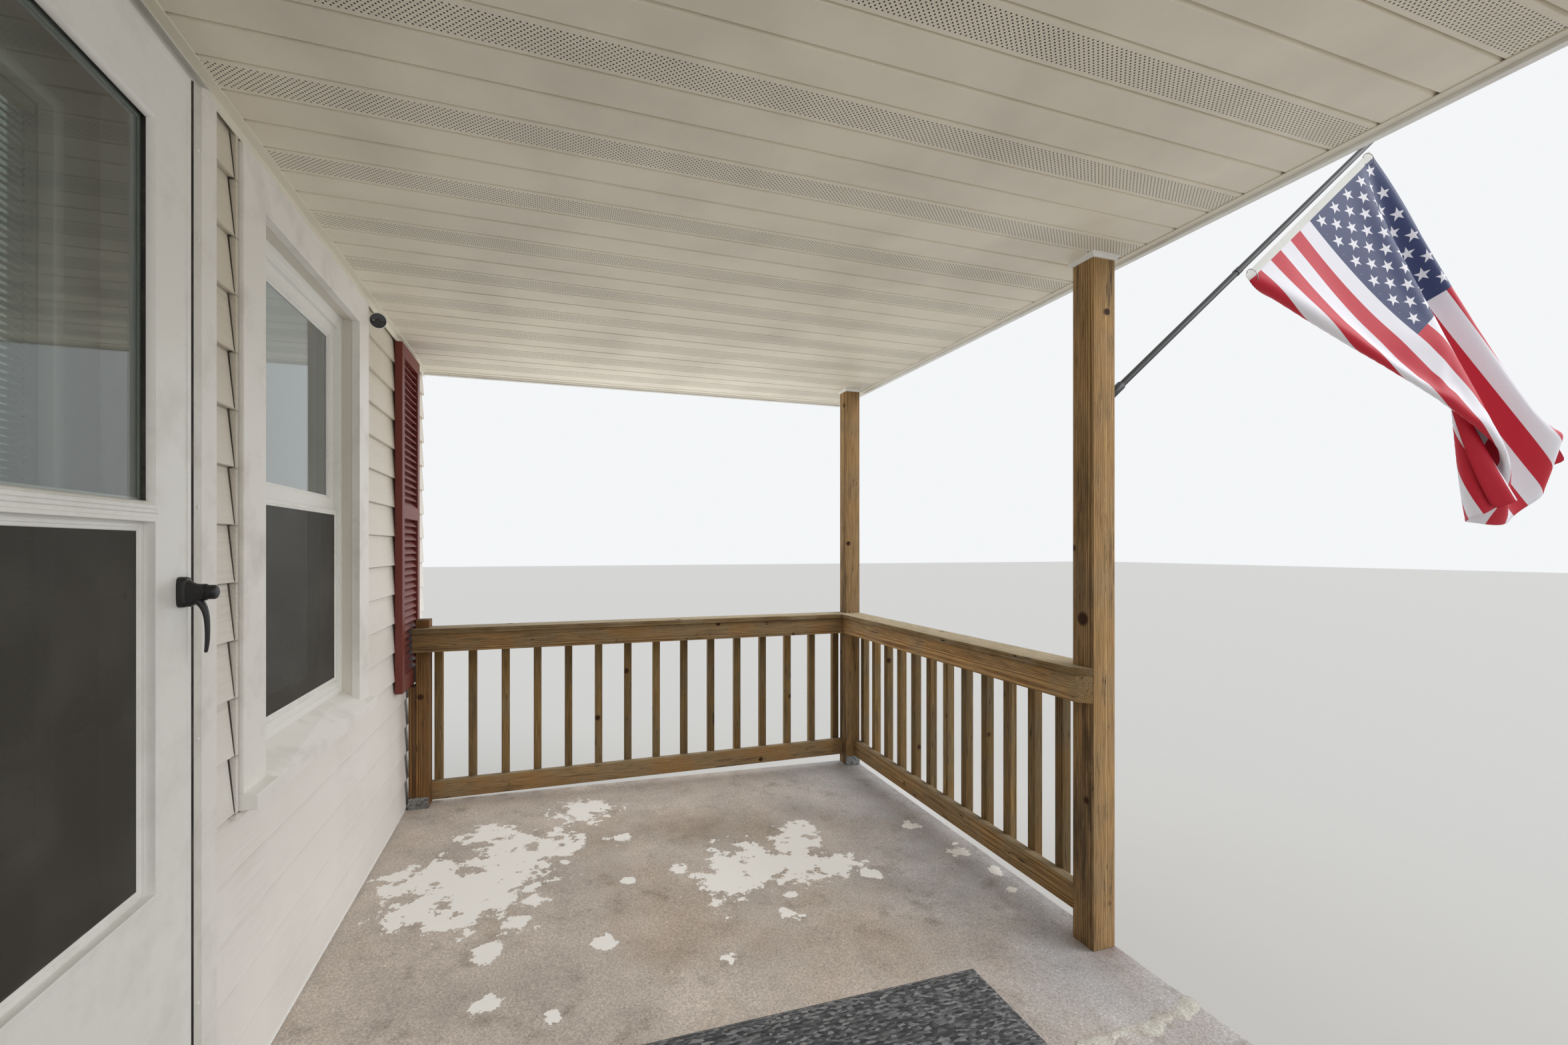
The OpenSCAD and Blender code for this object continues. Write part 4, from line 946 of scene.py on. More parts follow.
@dataclass
class Timber:
    """The railing, the posts and the framing, each board with its own grain."""

    eased: float = 2.5 * MM
    seed: int = 71
    post: float = 0.089
    heart_spread: Point = (0.07, 0.07, 20)
    heart_from: Point = (0.03, 0.05, 30)
    strap: float = 3 * MM
    strap_nail: tuple[float, float] = (4.0 * MM, 1.6 * MM)
    strap_levels: tuple[float, float] = (0.352, 0.370)
    strap_insets: Point = (0.075, 0.045, 0.015)
    small_nail: tuple[float, float] = (3 * MM, 0.8 * MM)
    baluster: float = 0.038
    front_apart: float = 0.147
    end_apart: float = 0.1545
    boards: tuple[tuple[Finish, str, tuple[str, ...]], ...] = (
        (POST, "post_timber", ("porch_posts",)),
        (WALL_POST, "post_timber", ("wall_posts",)),
        (RAIL, "rail_timber", ("front_inner_rails", "end_inner_rails", "outer_top_rails", "bottom_rails")),
        (CAP, "cap_timber", ("front_rail_caps", "end_rail_caps")),
        (BALUSTER, "baluster_timber", ("front_balusters", "end_balusters")),
        (FRAMING, "framing", ("header_beam", "roof_rafters")))

    def build(self) -> None:
        """Build every board and its nails."""
        rows = [(node, finish, slot) for finish, slot, nodes in self.boards for node in nodes]
        for number, row in enumerate(rows):
            self.board(*row, np.random.default_rng(self.seed + number))
        self.bases()
        self.nails()

    def board(self, node: str, finish: Finish, slot: str, chance: np.random.Generator) -> None:
        """Copy a timber node with eased edges and give each loose part a grain along its length.

        Each part's points are measured from its middle, with its longest side last, and moved off the
        heart of the tree by a chance distance, so that the rings cut its faces in their own way.

        Args:
            node: The node that the boards stand for.
            finish: Their timber.
            slot: The record's material slot.
            chance: The seeded source of each board's heart and tone.
        """
        soft = bmesh.new()
        soft.from_mesh(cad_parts[node].data)
        bmesh.ops.remove_doubles(soft, verts=soft.verts, dist=1e-5)
        bmesh.ops.dissolve_limit(soft, angle_limit=0.01, verts=soft.verts, edges=soft.edges)
        bmesh.ops.bevel(soft, geom=soft.edges, offset=self.eased, offset_type="OFFSET", segments=2,
            profile=0.6, affect="EDGES", clamp_overlap=True)
        bmesh.ops.recalc_face_normals(soft, faces=soft.faces)
        mesh = bpy.data.meshes.new(node + "_boards")
        soft.to_mesh(mesh)
        soft.free()
        mesh.materials.clear()
        at = np.empty(len(mesh.vertices) * 3, np.float32)
        mesh.vertices.foreach_get("co", at)
        at = at.reshape(-1, 3)
        part = parts_of(mesh)
        count = part.max() + 1
        low, high = np.full((count, 3), np.inf), np.full((count, 3), -np.inf)
        np.minimum.at(low, part, at)
        np.maximum.at(high, part, at)
        order = np.argsort(high - low, axis=1)
        heart = chance.uniform(-1, 1, (count, 3)) * self.heart_spread + self.heart_from
        local = np.take_along_axis(at - ((low + high) / 2)[part], order[part], axis=1) + heart[part]
        grain = mesh.attributes.new("grain", "FLOAT_VECTOR", "POINT")
        grain.data.foreach_set("vector", local.astype(np.float32).ravel())
        tone = mesh.attributes.new("tone", "FLOAT", "POINT")
        tone.data.foreach_set("value", chance.uniform(0, 1, count)[part].astype(np.float32))
        piece = place(mesh, finish, "porch", slot, 40)
        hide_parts(node)

    def bases(self) -> None:
        """Dress the zinc post bases and nail their straps."""
        dress(ZINC, "post_bases", eased=0.6)
        high = span("wall_posts")[1]
        shape = Shape()
        for x, way, back in ((high[0] + self.strap, Way.RIGHT, Way.LEFT),
                (high[0] - self.post - self.strap, Way.LEFT, Way.RIGHT)):
            spots = np.array([[x, high[1] - inset, z] for z in self.strap_levels for inset in self.strap_insets])
            shape.domes(spots, way, *self.strap_nail)
            shape.domes(spots * MIRROR, back, *self.strap_nail)
        shape.build("post_base_nails", NAIL, "porch", "galvanized")

    def nails(self) -> None:
        """Drive two nails through each baluster into each rail."""
        low, high = span("front_balusters")
        rail, half = span("front_inner_rails")[1][2], self.baluster / 2
        heights = (rail - 0.028, rail - 0.064, low[2] + 0.026, low[2] + 0.062)
        front = [[x, low[1], z] for x in high[0] - half - self.front_apart * np.arange(12) for z in heights]
        high = span("end_balusters")[1]
        end = np.array([[high[0], y, z] for y in high[1] - half - self.end_apart * np.arange(13) for z in heights])
        shape = Shape()
        front = both(np.array(front))
        for spots, way in ((front, Way.STREET), (end, Way.RIGHT), (end * MIRROR, Way.LEFT)):
            shape.domes(spots, way, *self.small_nail, 6)
        shape.build("baluster_nails", NAIL, "porch", "baluster_timber")


@dataclass
class Wall:
    """The slab, the foundation and the house wall with its siding."""

    siding_butt: float = 1.2035
    siding_slope: float = 0.011
    siding_ends: tuple[tuple[float, int, tuple[float, float], float], ...] = (
        (0.5905, 1, (0.7, 1.6), 0.0), (0.701, -1, (2.0, 9.0), 0.985), (1.781, 1, (1.0, 3.0), 0.985))
    mortar_width: float = 0.062
    mortar_rise: float = 0.006
    mortar_from: tuple[float, float] = (0.272, -1.2155)
    mortar_length: float = 0.52
    mat_low: tuple[float, float] = (-0.610, -0.690)
    mat_size: tuple[float, float] = (1.219, 1.829)
    mat_thick: float = 6.5 * MM

    def build(self) -> None:
        """Dress the wall, lay the mortar over the slab's crack and the mat before the door."""
        dress(SLAB, "porch_slab")
        dress(BLOCK, "house_foundation")
        dress(SHEATHING, "house_wall_left", "house_wall_right", "house_wall_over_door")
        dress(SIDING, "wall_siding")
        dress(ENAMEL, "wall_base_flashing")
        self.gaps()
        self.mortar()
        self.mat()

    def gaps(self) -> None:
        """Show the dark gap that opens towards each course's top, where the siding meets its channel, as strips
        of painted shade.

        Each strip follows the courses: its depth falls from the butt to the top of a course along a
        straight slope, and its width grows along the same way, then both start again.
        """
        low, high = span("wall_siding")
        shape = Shape()
        for edge, side, wide, foot in self.siding_ends:
            foot = max(low[2] + 0.01, foot)
            z = foot + (high[2] - foot - 0.02) * np.linspace(0, 1, 420)
            share = ((z - SIDING.foot) / SIDING.course) % 1
            front = self.siding_butt - 0.5 * MM + self.siding_slope * share
            near, far = edge + 0 * z, edge + side * (wide[0] + (wide[1] - wide[0]) * share) * MM
            ring = np.stack([np.stack([x, y, z], -1) for x, y in ((near, front), (far, front),
                (far, front + 2 * MM), (near, front + 2 * MM))], 1)
            shape.closed(ring[None]).closed((ring * MIRROR)[None])
        shape.build("siding_end_gap_shade", POCKET_SHADE, "porch", None)

    def mortar(self) -> None:
        """Lay a low bead of mortar along the crack.

        The bead's height over the slab is a rounded hump across its width, and its middle line and
        width wander with sines of three lengths along it.
        """
        run = np.linspace(0, 1, 70)
        across = np.linspace(-1, 1, 9)
        wander = 0.014 * np.sin(7 * run + 2) + 0.007 * np.sin(23 * run + 1) + 0.003 * np.sin(61 * run)
        width = self.mortar_width * (0.75 + 0.25 * np.sin(19 * run) + 0.1 * np.sin(47 * run)) * (1 - 0.75 * run**2)
        x = (self.mortar_from[0] - 0.045 * run**2 + wander)[:, None] + across * width[:, None] / 2
        y = (self.mortar_from[1] + self.mortar_length * run)[:, None] + 0 * across
        rise = self.mortar_rise * (1 - across**2) * (0.7 + 0.3 * np.sin(43 * run))[:, None]
        top = np.stack([x, y, slab_top(y) + rise - 0.2 * MM], -1)
        rows = np.concatenate([top, (top - [0, 0, 3 * MM])[:, ::-1]], 1)
        Shape().closed(rows[None]).build("mortar_repair", MORTAR, "porch", "concrete", 60)

    def mat(self) -> None:
        """Lay a looped mat before the door.

        Its height over the sloping slab is flat to a bound edge that rounds down like a quarter circle,
        with two slow sines of a millimetre where it doesn't lie quite flat.
        """
        u, v = np.meshgrid(np.linspace(0, 1, 50), np.linspace(0, 1, 70))
        ease = np.clip(np.minimum.reduce([u, 1 - u, v, 1 - v]) * 60, 0, 1)
        x, y = self.mat_low[0] + self.mat_size[0] * u, self.mat_low[1] + self.mat_size[1] * v
        wave = 0.6 * MM * (1 + np.sin(9 * u + 2 * v) * np.sin(7 * v))
        rise = 1.5 * MM + self.mat_thick * np.sqrt(1 - (1 - ease) ** 2) + wave * ease
        top, foot = (np.stack([x, y, slab_top(y) + over], -1) for over in (rise, 0.2 * MM))
        shape = Shape().grids(top[None]).grids(foot[None, ::-1])
        every = slice(None)
        for edge in ((every, 0), (every, -1), (0, every), (-1, every)):
            shape.grids(np.stack([top[edge], foot[edge]])[None])
        piece = shape.build("door_mat", MAT_YARN, "porch", None, 50)


@dataclass
class Roof:
    """The ceiling, the eaves and the shingled roof."""

    tab_width: float = 0.305
    tab_gap: float = 0.008
    least_tab: float = 0.01
    course: float = 0.143
    pitch: float = 0.1667
    seed: int = 12

    def build(self) -> None:
        """Dress the roof's nodes and lay the shingle tabs."""
        dress(SOFFIT, "soffit_ceiling")
        dress(TRIM_VINYL, "soffit_trim", eased=0.5)
        dress(ENAMEL, "post_collars", eased=1)
        dress(SHEATHING, "roof_deck")
        dress(SHINGLE, "roof_shingles")
        dress(ENAMEL, "front_fascia", "roof_end_boards", eased=1.2)
        self.tabs()

    def tabs(self) -> None:
        """Lay tabs on each course, each a plate that thins towards its upper edge.

        A tab's height follows the roof's slope in depth, and every other course is moved by half a tab.
        """
        low, high = span("roof_shingles")
        rows = math.ceil((high[1] - low[1]) / self.course)
        columns = int((high[0] - low[0]) / self.tab_width) + 2
        row, column = np.meshgrid(np.arange(rows), np.arange(columns), indexing="ij")
        chance = np.random.default_rng(self.seed)
        x0 = low[0] + (column - 0.5 * (row % 2)) * self.tab_width + chance.uniform(-4, 4, row.shape) * MM
        x1 = x0 + self.tab_width - self.tab_gap
        x0, x1 = (np.clip(x, low[0] + MM, high[0] - MM) for x in (x0, x1))
        keep = x1 - x0 > self.least_tab
        y0 = low[1] + row[keep] * self.course + 1 * MM
        y1 = np.minimum(y0 + self.course - 2 * MM, high[1] - MM)
        under, upper = (low[2] + self.pitch * (y - low[1]) for y in (y0, y1))
        thick = chance.uniform(1.0, 2.6, y0.shape) * MM
        section = ((y0, under + 6 * MM), (y1, upper + 3 * MM), (y1, upper + 5.4 * MM), (y0, under + 9.5 * MM + thick))
        tabs = np.array([[[x, y, z] for y, z in section] for x in (x0[keep], x1[keep])])
        Shape().closed(np.moveaxis(tabs, -1, 0)).build("shingle_tabs", SHINGLE, "porch", "shingle_asphalt")


@dataclass
class Windows:
    """Both windows with their casings, sashes, glass, screens and shutters."""

    nail: tuple[float, float] = (3.5 * MM, 1.0 * MM)
    frame_width: float = 16 * MM
    mid: float = 1.241

    def build(self) -> None:
        """Dress the windows and make their screens and nails."""
        dress(PAINT, "window_casings", eased=1.5)
        dress(PAINT, "window_sills", eased=2)
        dress(WHITE_VINYL, "window_frames", eased=1.2)
        dress(DIM_GLASS, "window_glass")
        dress(SHUTTER, "shutters", eased=0.8)
        self.screens()
        self.nails()

    def screens(self) -> None:
        """Make the two windows' insect screens."""
        low, high = span("window_screens")
        inner = 2 * self.mid - high[0]
        rims, mesh = Shape(), Shape()
        for x0, x1 in ((inner, high[0]), (-high[0], -inner)):
            add_screen((x0, low[1], low[2]), (x1, high[1], high[2]), self.frame_width, rims, mesh)
        rims = rims.build("window_screen_frames", ENAMEL, "porch", "white_aluminium")
        mesh = mesh.build("window_screen_mesh", MESH, "porch", "screen_mesh")
        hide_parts("window_screens")
        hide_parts("window_screens")

    def nails(self) -> None:
        """Set painted nail heads down the casings and across their heads."""
        low, high = span("window_casings")
        inner, outer = 2 * self.mid - high[0], high[0]
        down = np.linspace(low[2] + 0.12, high[2] - 0.05, 5)
        spots = [[x, low[1], z] for x in (inner + 0.03, inner + 0.09, outer - 0.09, outer - 0.03) for z in down]
        spots += [[x, low[1], high[2] - 0.05] for x in np.linspace(inner + 0.3, outer - 0.3, 3)]
        shape = Shape().domes(both(np.array(spots)), Way.STREET, *self.nail)
        shape.build("casing_nails", PAINT, "porch", "painted_trim")


@dataclass
class StormDoor:
    """The outer door with its bars, glass, screen and handle."""

    screen_width: float = 16 * MM
    bead_rise: float = 4 * MM
    inner_bead: float = 12 * MM
    lip: tuple[float, float] = (15.0, 1.3)
    screw: tuple[float, float] = (4.2 * MM, 2.4 * MM)
    screw_inset: float = 0.016
    screw_heights: tuple[float, ...] = (2.374, 2.197, 1.672, 1.218, 0.699)

    def build(self) -> None:
        """Dress the storm door's nodes and add its screen, beads, lip, handle and screws."""
        dress(ENAMEL, "storm_door_leaf", eased=2.5)
        dress(DULL_ENAMEL, "storm_frame_sides", "storm_drip_cap", eased=1.5)
        dress(PAINT, "door_casing_sides", "door_casing_head", eased=2)
        dress(GLASS, "storm_glass")
        dress(BLACK, "handle_button", eased=1.5)
        dress(STEEL, "storm_hinge_knuckles", "door_hinge_pins")
        dress(MILL, "door_sill", eased=1.5)
        self.screen()
        self.beads()
        self.edges()
        self.handle()
        self.screws()

    def screen(self) -> None:
        """Make the lower half's insect screen."""
        rims, mesh = Shape(), Shape()
        add_screen(*span("storm_screen"), self.screen_width, rims, mesh)
        rims = rims.build("storm_screen_frame", ENAMEL, "storm_door", "white_aluminium")
        mesh = mesh.build("storm_screen_mesh", MESH, "storm_door", "screen_mesh")
        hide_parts("storm_screen")
        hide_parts("storm_screen")

    def beads(self) -> None:
        """Hold the glass with a sloping bead over a rubber gasket outside and a rounded bead inside."""
        low, high = span("storm_glass")
        street, room = (corner[1] for corner in span("storm_door_leaf"))
        room -= 1.5 * MM
        slope = np.array([[-0.5, 0.1], [1.0, 0.0], [3.0, 0.06], [7.0, 0.5], [7.0, 0.6], [-0.5, 0.6]])
        rubber = np.array([[-0.5, 0.6], [4.0, 0.6], [5.0, 0.75], [5.0, 0.99], [-0.5, 0.99]])
        turn = np.linspace(0, math.pi / 2, 6)
        curve = np.stack([self.inner_bead / MM * np.sin(turn), 0.98 * (1 - np.cos(turn))], -1)
        curve = np.concatenate([[[-0.5, 0.0]], curve, [[-0.5, 0.98]]])
        for profile, near, far, name, finish, slot in (
                (slope, street, low[1], "storm_glass_beads", ENAMEL, "white_aluminium"),
                (rubber, street, low[1], "storm_glass_gasket", GASKET, "black_metal"),
                (curve, room, high[1], "storm_inner_beads", ENAMEL, "white_aluminium")):
            Shape().mitred(low, high, near, profile * [MM, far - near]).build(name, finish, "storm_door", slot)

    def edges(self) -> None:
        """Run a thin raised lip round the leaf's street face and a black pile strip down the latch bar, partly a
        real weatherstrip and partly painted shade for the gap's dark line.
        """
        low, high = span("storm_door_leaf")
        face = low[1] + self.bead_rise
        wide, rise = self.lip
        profile = np.array([[2.6, 0.5], [3.2, -rise], [wide, -rise], [wide + 0.4, 0.5]]) * MM
        shape = Shape().mitred(low, high, face, profile)
        shape.build("storm_leaf_lip", ENAMEL, "storm_door", "white_aluminium")
        # The black pile strip is partly a real weatherstrip and partly painted shade: it gives the dark line of the
        # deep gap between leaf and bar.
        bar = span("storm_frame_sides")
        shape = Shape().block((high[0] + 2.5 * MM, face - 1.5 * MM, bar[0][2] + 5 * MM),
            (high[0] + 6.0 * MM, bar[0][1] + 1 * MM, high[2]))
        shape.build("storm_pile_strip_and_gap_shade", GASKET, "porch", "black_metal")

    def handle(self) -> None:
        """Cast the handle: a foot, a boss round the button and a pull, with a plate and lever inside.

        The foot and the boss are stacks of superellipses, whose half width, half height and middle height
        follow a table as they rise off the leaf. The pull and the lever are ellipses square to a curve
        that a spline draws through a few points, and they taper towards a rounded tip. A rod's rows are
        its rise, its way along, its half width and its half thickness in millimetres.
        """
        x, _, z = sum(span("handle_button")) / 2
        low, high = span("storm_door_leaf")
        street, room = low[1] + self.bead_rise, high[1] - self.bead_rise
        foot = ((0, 16.5, 28.5, 0.7, 4), (7, 16.4, 28.4, 0.7, 4), (11, 15.4, 27.2, 0.7, 4), (13, 12.5, 24, 0.7, 4))
        boss = ((10, 12.8, 25.5, -1.0, 3.4), (16, 12.5, 24, -3, 3.2), (22, 13, 20, -3, 2.8), (29, 14.4, 16.6, -1, 2.3),
            (36, 15.8, 15.8, 0, 2), (39, 15.6, 15.6, 0, 2), (40, 14.8, 14.8, 0, 2), (39.4, 13.8, 13.8, 0, 2),
            (31, 13.8, 13.8, 0, 2))
        plate = ((0, 15, 50, 0, 6), (2.5, 15, 50, 0, 6), (3.6, 14.2, 49.2, 0, 6), (4, 12.5, 47.5, 0, 6))
        hub = ((3, 9.5, 9.5, 0, 2), (20, 8.5, 8.5, 0, 2), (25, 8.5, 8.5, 0, 2), (26, 7.2, 7.2, 0, 2))
        shape = Shape()
        for rows, face, out in ((foot, street, -1), (boss, street, -1), (plate, room, 1), (hub, room, 1)):
            shape.stacked((x, face, z), out, np.array(rows))
        pull = np.array([(22, -8, 10.5, 8), (28, -17, 10, 7), (34, -27, 9, 5.6), (38, -40, 7.8, 4.6),
            (40, -57, 7.2, 3.8), (40.5, -76, 6.8, 3.4), (40, -95, 6.2, 3.1), (38.3, -111, 4.6, 2.6)]) * MM
        lever = np.array([(21, 7, 7, 4.5), (22, -5, 7.5, 4.4), (24, -22, 7, 4), (24.5, -42, 6.5, 3.6),
            (22, -58, 5, 3)]) * MM
        shape.tapered(np.stack([x + 0 * pull[:, 0], street - pull[:, 0], z + pull[:, 1]], -1), *pull.T[2:])
        shape.tapered(np.stack([x + lever[:, 1], room + lever[:, 0], z + 0 * lever[:, 0]], -1), *lever.T[2:])
        piece = shape.build("storm_handle_castings", BLACK, "storm_door", "black_metal", 50)
        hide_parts("storm_handle")

    def screws(self) -> None:
        """Drive domed screws down the side bars."""
        low, high = span("storm_frame_sides")
        spots = np.array([[high[0] - self.screw_inset, low[1], z] for z in self.screw_heights])
        Shape().domes(both(spots), Way.STREET, *self.screw).build("bar_screws", ENAMEL, "porch", "white_aluminium")


@dataclass
class EntryDoor:
    """The inner door with a glazed light that holds a mini blind."""

    slat_width: float = 15 * MM
    slat_pitch: float = 12.5 * MM
    slat_lean: float = 52.0
    slat_crown: float = 1.2 * MM
    pane: float = 3 * MM
    bead: tuple[float, float] = (26 * MM, 9 * MM)

    def build(self) -> None:
        """Dress the entry door's nodes and build its light."""
        dress(DOOR_PAINT, "entry_door_leaf", eased=1.5)
        dress(PAINT, "entry_jambs", "entry_jamb_head", eased=1.5)
        dress(STEEL, "entry_knob", "entry_hinge_knuckles")
        self.light()

    def light(self) -> None:
        """Build two panes, the blind between them and a moulded bead on each side."""
        low, high = span("entry_lite")
        outer = Shape().block(low, (high[0], low[1] + self.pane, high[2]))
        outer = outer.build("entry_outer_pane", GLASS, "entry_door", "window_pane")
        inner = Shape().block((low[0], high[1] - self.pane, low[2]), high)
        inner = inner.build("entry_inner_pane", DIM_GLASS, "entry_door", "window_pane")
        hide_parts("entry_lite")
        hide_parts("entry_lite")
        self.blind(low, high)
        turn = np.linspace(0, math.pi, 9)
        wide, rise = self.bead
        shape = Shape()
        for leaf, lite, out in zip(span("entry_door_leaf"), (low, high), (-1, 1)):
            curve = np.stack([2 * MM - wide * (1 - np.cos(turn)) / 2, out * rise * np.sin(turn) ** 0.7], -1)
            back = -out * (abs(leaf[1] - lite[1]) - 0.5 * MM)
            profile = np.concatenate([[[2 * MM, back]], curve, [[-20 * MM, -out * MM]]])
            shape.mitred(low, high, leaf[1], profile)
        shape.build("entry_light_bead", DOOR_PAINT, "entry_door", "door_enamel")

    def blind(self, low: Array, high: Array) -> None:
        """Hang crowned slats at an even pitch between two rails.

        A slat's section is a shallow arc, given 0.4 mm of thickness and leant by one angle.

        Args:
            low: The light's lowest corner.
            high: Its highest corner.
        """
        middle = (low[1] + high[1]) / 2
        level = np.arange(low[2] + 0.03, high[2] - 0.03, self.slat_pitch)[:, None, None]
        across = np.linspace(-0.5, 0.5, 6)
        lean = math.radians(self.slat_lean)
        arc, chord = self.slat_crown * (1 - (2 * across) ** 2), self.slat_width * across
        top = [chord * math.cos(lean) - arc * math.sin(lean), chord * math.sin(lean) + arc * math.cos(lean)]
        top = np.stack(top, -1)
        section = np.concatenate([top, top[::-1] - [0, 0.4 * MM]])
        ends = np.array([low[0] + 3 * MM, high[0] - 3 * MM])[:, None]
        x, y, z = np.broadcast_arrays(ends, middle + section[:, 0], level + section[:, 1])
        shape = Shape().closed(np.stack([x, y, z], -1))
        for z in (low[2] + 2 * MM, high[2] - 22 * MM):
            shape.block((low[0] + 2 * MM, middle - 6 * MM, z), (high[0] - 2 * MM, middle + 6 * MM, z + 20 * MM))
        for x in (low[0] + 0.09, 0.0, high[0] - 0.09):
            cord = np.array([[x, middle - 5.5 * MM, z] for z in (low[2] + 0.01, high[2] - 0.01)])
            shape.tube(cord, 0.6 * MM, 6)
        shape.build("entry_mini_blind", SLAT, "entry_door", "door_enamel")


@dataclass
class Flag:
    """The nylon flag, its header and rings, the pole and its bracket."""

    hoist: float = 0.914
    fly: float = 1.524
    rows: int = 34
    columns: int = 56
    ring: tuple[float, float, float] = (0.017, 0.026, 1.6 * MM)
    tip: Point = (0.6075, -2.567, 3.176)
    low: Point = (0.6075, -1.899, 2.611)
    header_half: float = 0.9 * MM
    gusts: tuple[tuple[int, float, float, float], ...] = ((60, -1.0, -6.0, -6.0), (60, -1.0, -4.0, -9.8))
    held: tuple[tuple[int, int, float, float, float], ...] = (
        (0, 50, 0.37, -3.25, 2.06), (33, 55, 0.40, -2.93, 1.743), (33, 30, 0.44, -2.65, 2.40))

    def build(self) -> None:
        """Dress the pole and hang the flag on it."""
        dress(BLACK, "flag_pole")
        dress(BLACK, "flag_bracket", eased=1)
        header = self.header(self.cloth())

    def grid(self) -> Array:
        """Return the flat cloth's points: rows down the hoist by columns along the fly."""
        tip, low = np.array(self.tip), np.array(self.low)
        down = unit(low - tip)
        out = np.array([0.0, down[2], -down[1]])
        v, u = np.meshgrid(np.linspace(0, 1, self.rows), np.linspace(0, 1, self.columns), indexing="ij")
        points = tip + down * self.hoist * v[..., None] + out * self.fly * u[..., None]
        points[..., 0] += 0.02 * np.sin(u * 9 + v * 3) * u
        return points

    def cloth(self) -> Array:
        """Blow the pinned cloth about for some frames and keep its last shape.

        Returns:
            The settled points, rows by columns by 3.
        """
        points = self.grid()
        u, v = np.meshgrid(np.linspace(0, 1, self.columns), np.linspace(0, 1, self.rows))
        index = np.arange(self.rows * self.columns).reshape(self.rows, self.columns)
        quads = np.stack([index[:-1, :-1], index[1:, :-1], index[1:, 1:], index[:-1, 1:]], -1).reshape(-1, 4)
        mesh = bpy.data.meshes.new("flag_cloth")
        mesh.from_pydata(points.reshape(-1, 3).tolist(), [], quads.tolist())
        layer = mesh.uv_layers.new(name="UVMap")
        at = np.stack([u, v], -1).reshape(-1, 2)[quads.ravel()]
        layer.data.foreach_set("uv", at.astype(np.float32).ravel())
        piece = place(mesh, CLOTH, "porch", "flag_cloth", 180)
        points = self.blow(piece, index)
        mesh.vertices.foreach_set("co", points.astype(np.float32).ravel())
        mesh.update()
        fine = piece.modifiers.new("Finer", "SUBSURF")
        fine.levels = fine.render_levels = 1
        thick = piece.modifiers.new("Thickness", "SOLIDIFY")
        thick.thickness, thick.offset = 0.5 * MM, 0.0
        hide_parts("flag")
        return points.reshape(self.rows, self.columns, 3)

    def blow(self, piece: bpy.types.Object, index: Array) -> Array:
        """Draw three of the cloth's points to where the wind holds them and let the rest follow.

        A shape key carries the held points from the flat cloth to their places over the first gust.

        Args:
            piece: The cloth, pinned down its hoist.
            index: Its vertex numbers, rows by columns.

        Returns:
            The points at the last frame.
        """
        pins = piece.vertex_groups.new(name="hoist")
        corners = [int(index[row, column]) for row, column, *_ in self.held]
        pins.add([int(i) for i in index[:, 0]] + corners, 1.0, "REPLACE")
        piece.shape_key_add(name="flat")
        blown = piece.shape_key_add(name="blown", from_mix=False)
        for row, column, *at in self.held:
            blown.data[int(index[row, column])].co = at
        for amount, frame_number in ((0.0, 1), (1.0, self.gusts[0][0])):
            blown.value = amount
            blown.keyframe_insert("value", frame=frame_number)
        wind = piece.modifiers.new("Wind", "CLOTH")
        fabric = wind.settings
        fabric.quality, fabric.mass, fabric.air_damping = 6, 0.2, 1.0
        fabric.tension_stiffness = fabric.compression_stiffness = 12
        fabric.shear_stiffness, fabric.bending_stiffness = 3, 0.15
        fabric.vertex_group_mass = "hoist"
        wind.collision_settings.use_self_collision = True
        wind.collision_settings.self_distance_min = 0.006
        wind.point_cache.frame_start, wind.point_cache.frame_end = 1, 400
        scene = bpy.context.scene
        kept = tuple(scene.gravity)
        number = 1
        for frames, x, y, z in self.gusts:
            scene.gravity = (x, y, z)
            for _ in range(frames):
                scene.frame_set(number)
                number += 1
        result = piece.evaluated_get(bpy.context.evaluated_depsgraph_get())
        points = np.empty(index.size * 3, np.float32)
        result.data.vertices.foreach_get("co", points)
        piece.modifiers.remove(wind)
        piece.vertex_groups.clear()
        piece.shape_key_clear()
        for action in list(bpy.data.actions):
            bpy.data.actions.remove(action)
        scene.gravity = kept
        scene.frame_set(1)
        return points

    def header(self, points: Array) -> bpy.types.Object:
        """Sew a canvas header over the cloth's hoist edge, with a ring at each end.

        The header's two faces are the cloth's first columns, moved off it by 0.9 mm on each side.

        Args:
            points: The cloth's points, rows by columns by 3.

        Returns:
            The header.
        """
        share = np.linspace(0, 1, 4)[None, :, None]
        edge = points[:, :1] * (1 - share) + points[:, 1:2] * share
        edge = edge + (points[:, :1] - points[:, 1:2]) * 0.35
        across, down = np.gradient(edge, axis=1), np.gradient(edge, axis=0)
        out = self.header_half * unit(np.cross(across, down))
        rim = np.concatenate([edge + out, (edge - out)[:, ::-1]], 1)
        header = Shape().closed(rim[None]).build("flag_header", CANVAS, "porch", "flag_cloth", 50)
        turn = np.linspace(0, math.tau, 25)[:, None]
        pole = unit(np.array(self.tip) - self.low)
        off = np.array([0.0, pole[2], -pole[1]])
        wide, tall, wire = self.ring
        loop = wide * np.cos(turn) * [1.0, 0, 0] + tall * (np.sin(turn) - 0.45) * off
        shape = Shape()
        for row in (1, -2):
            shape.tube(points[row, 0] + loop, wire, 8)
        shape.build("flag_rings", STEEL, "porch", "black_metal")
        return header


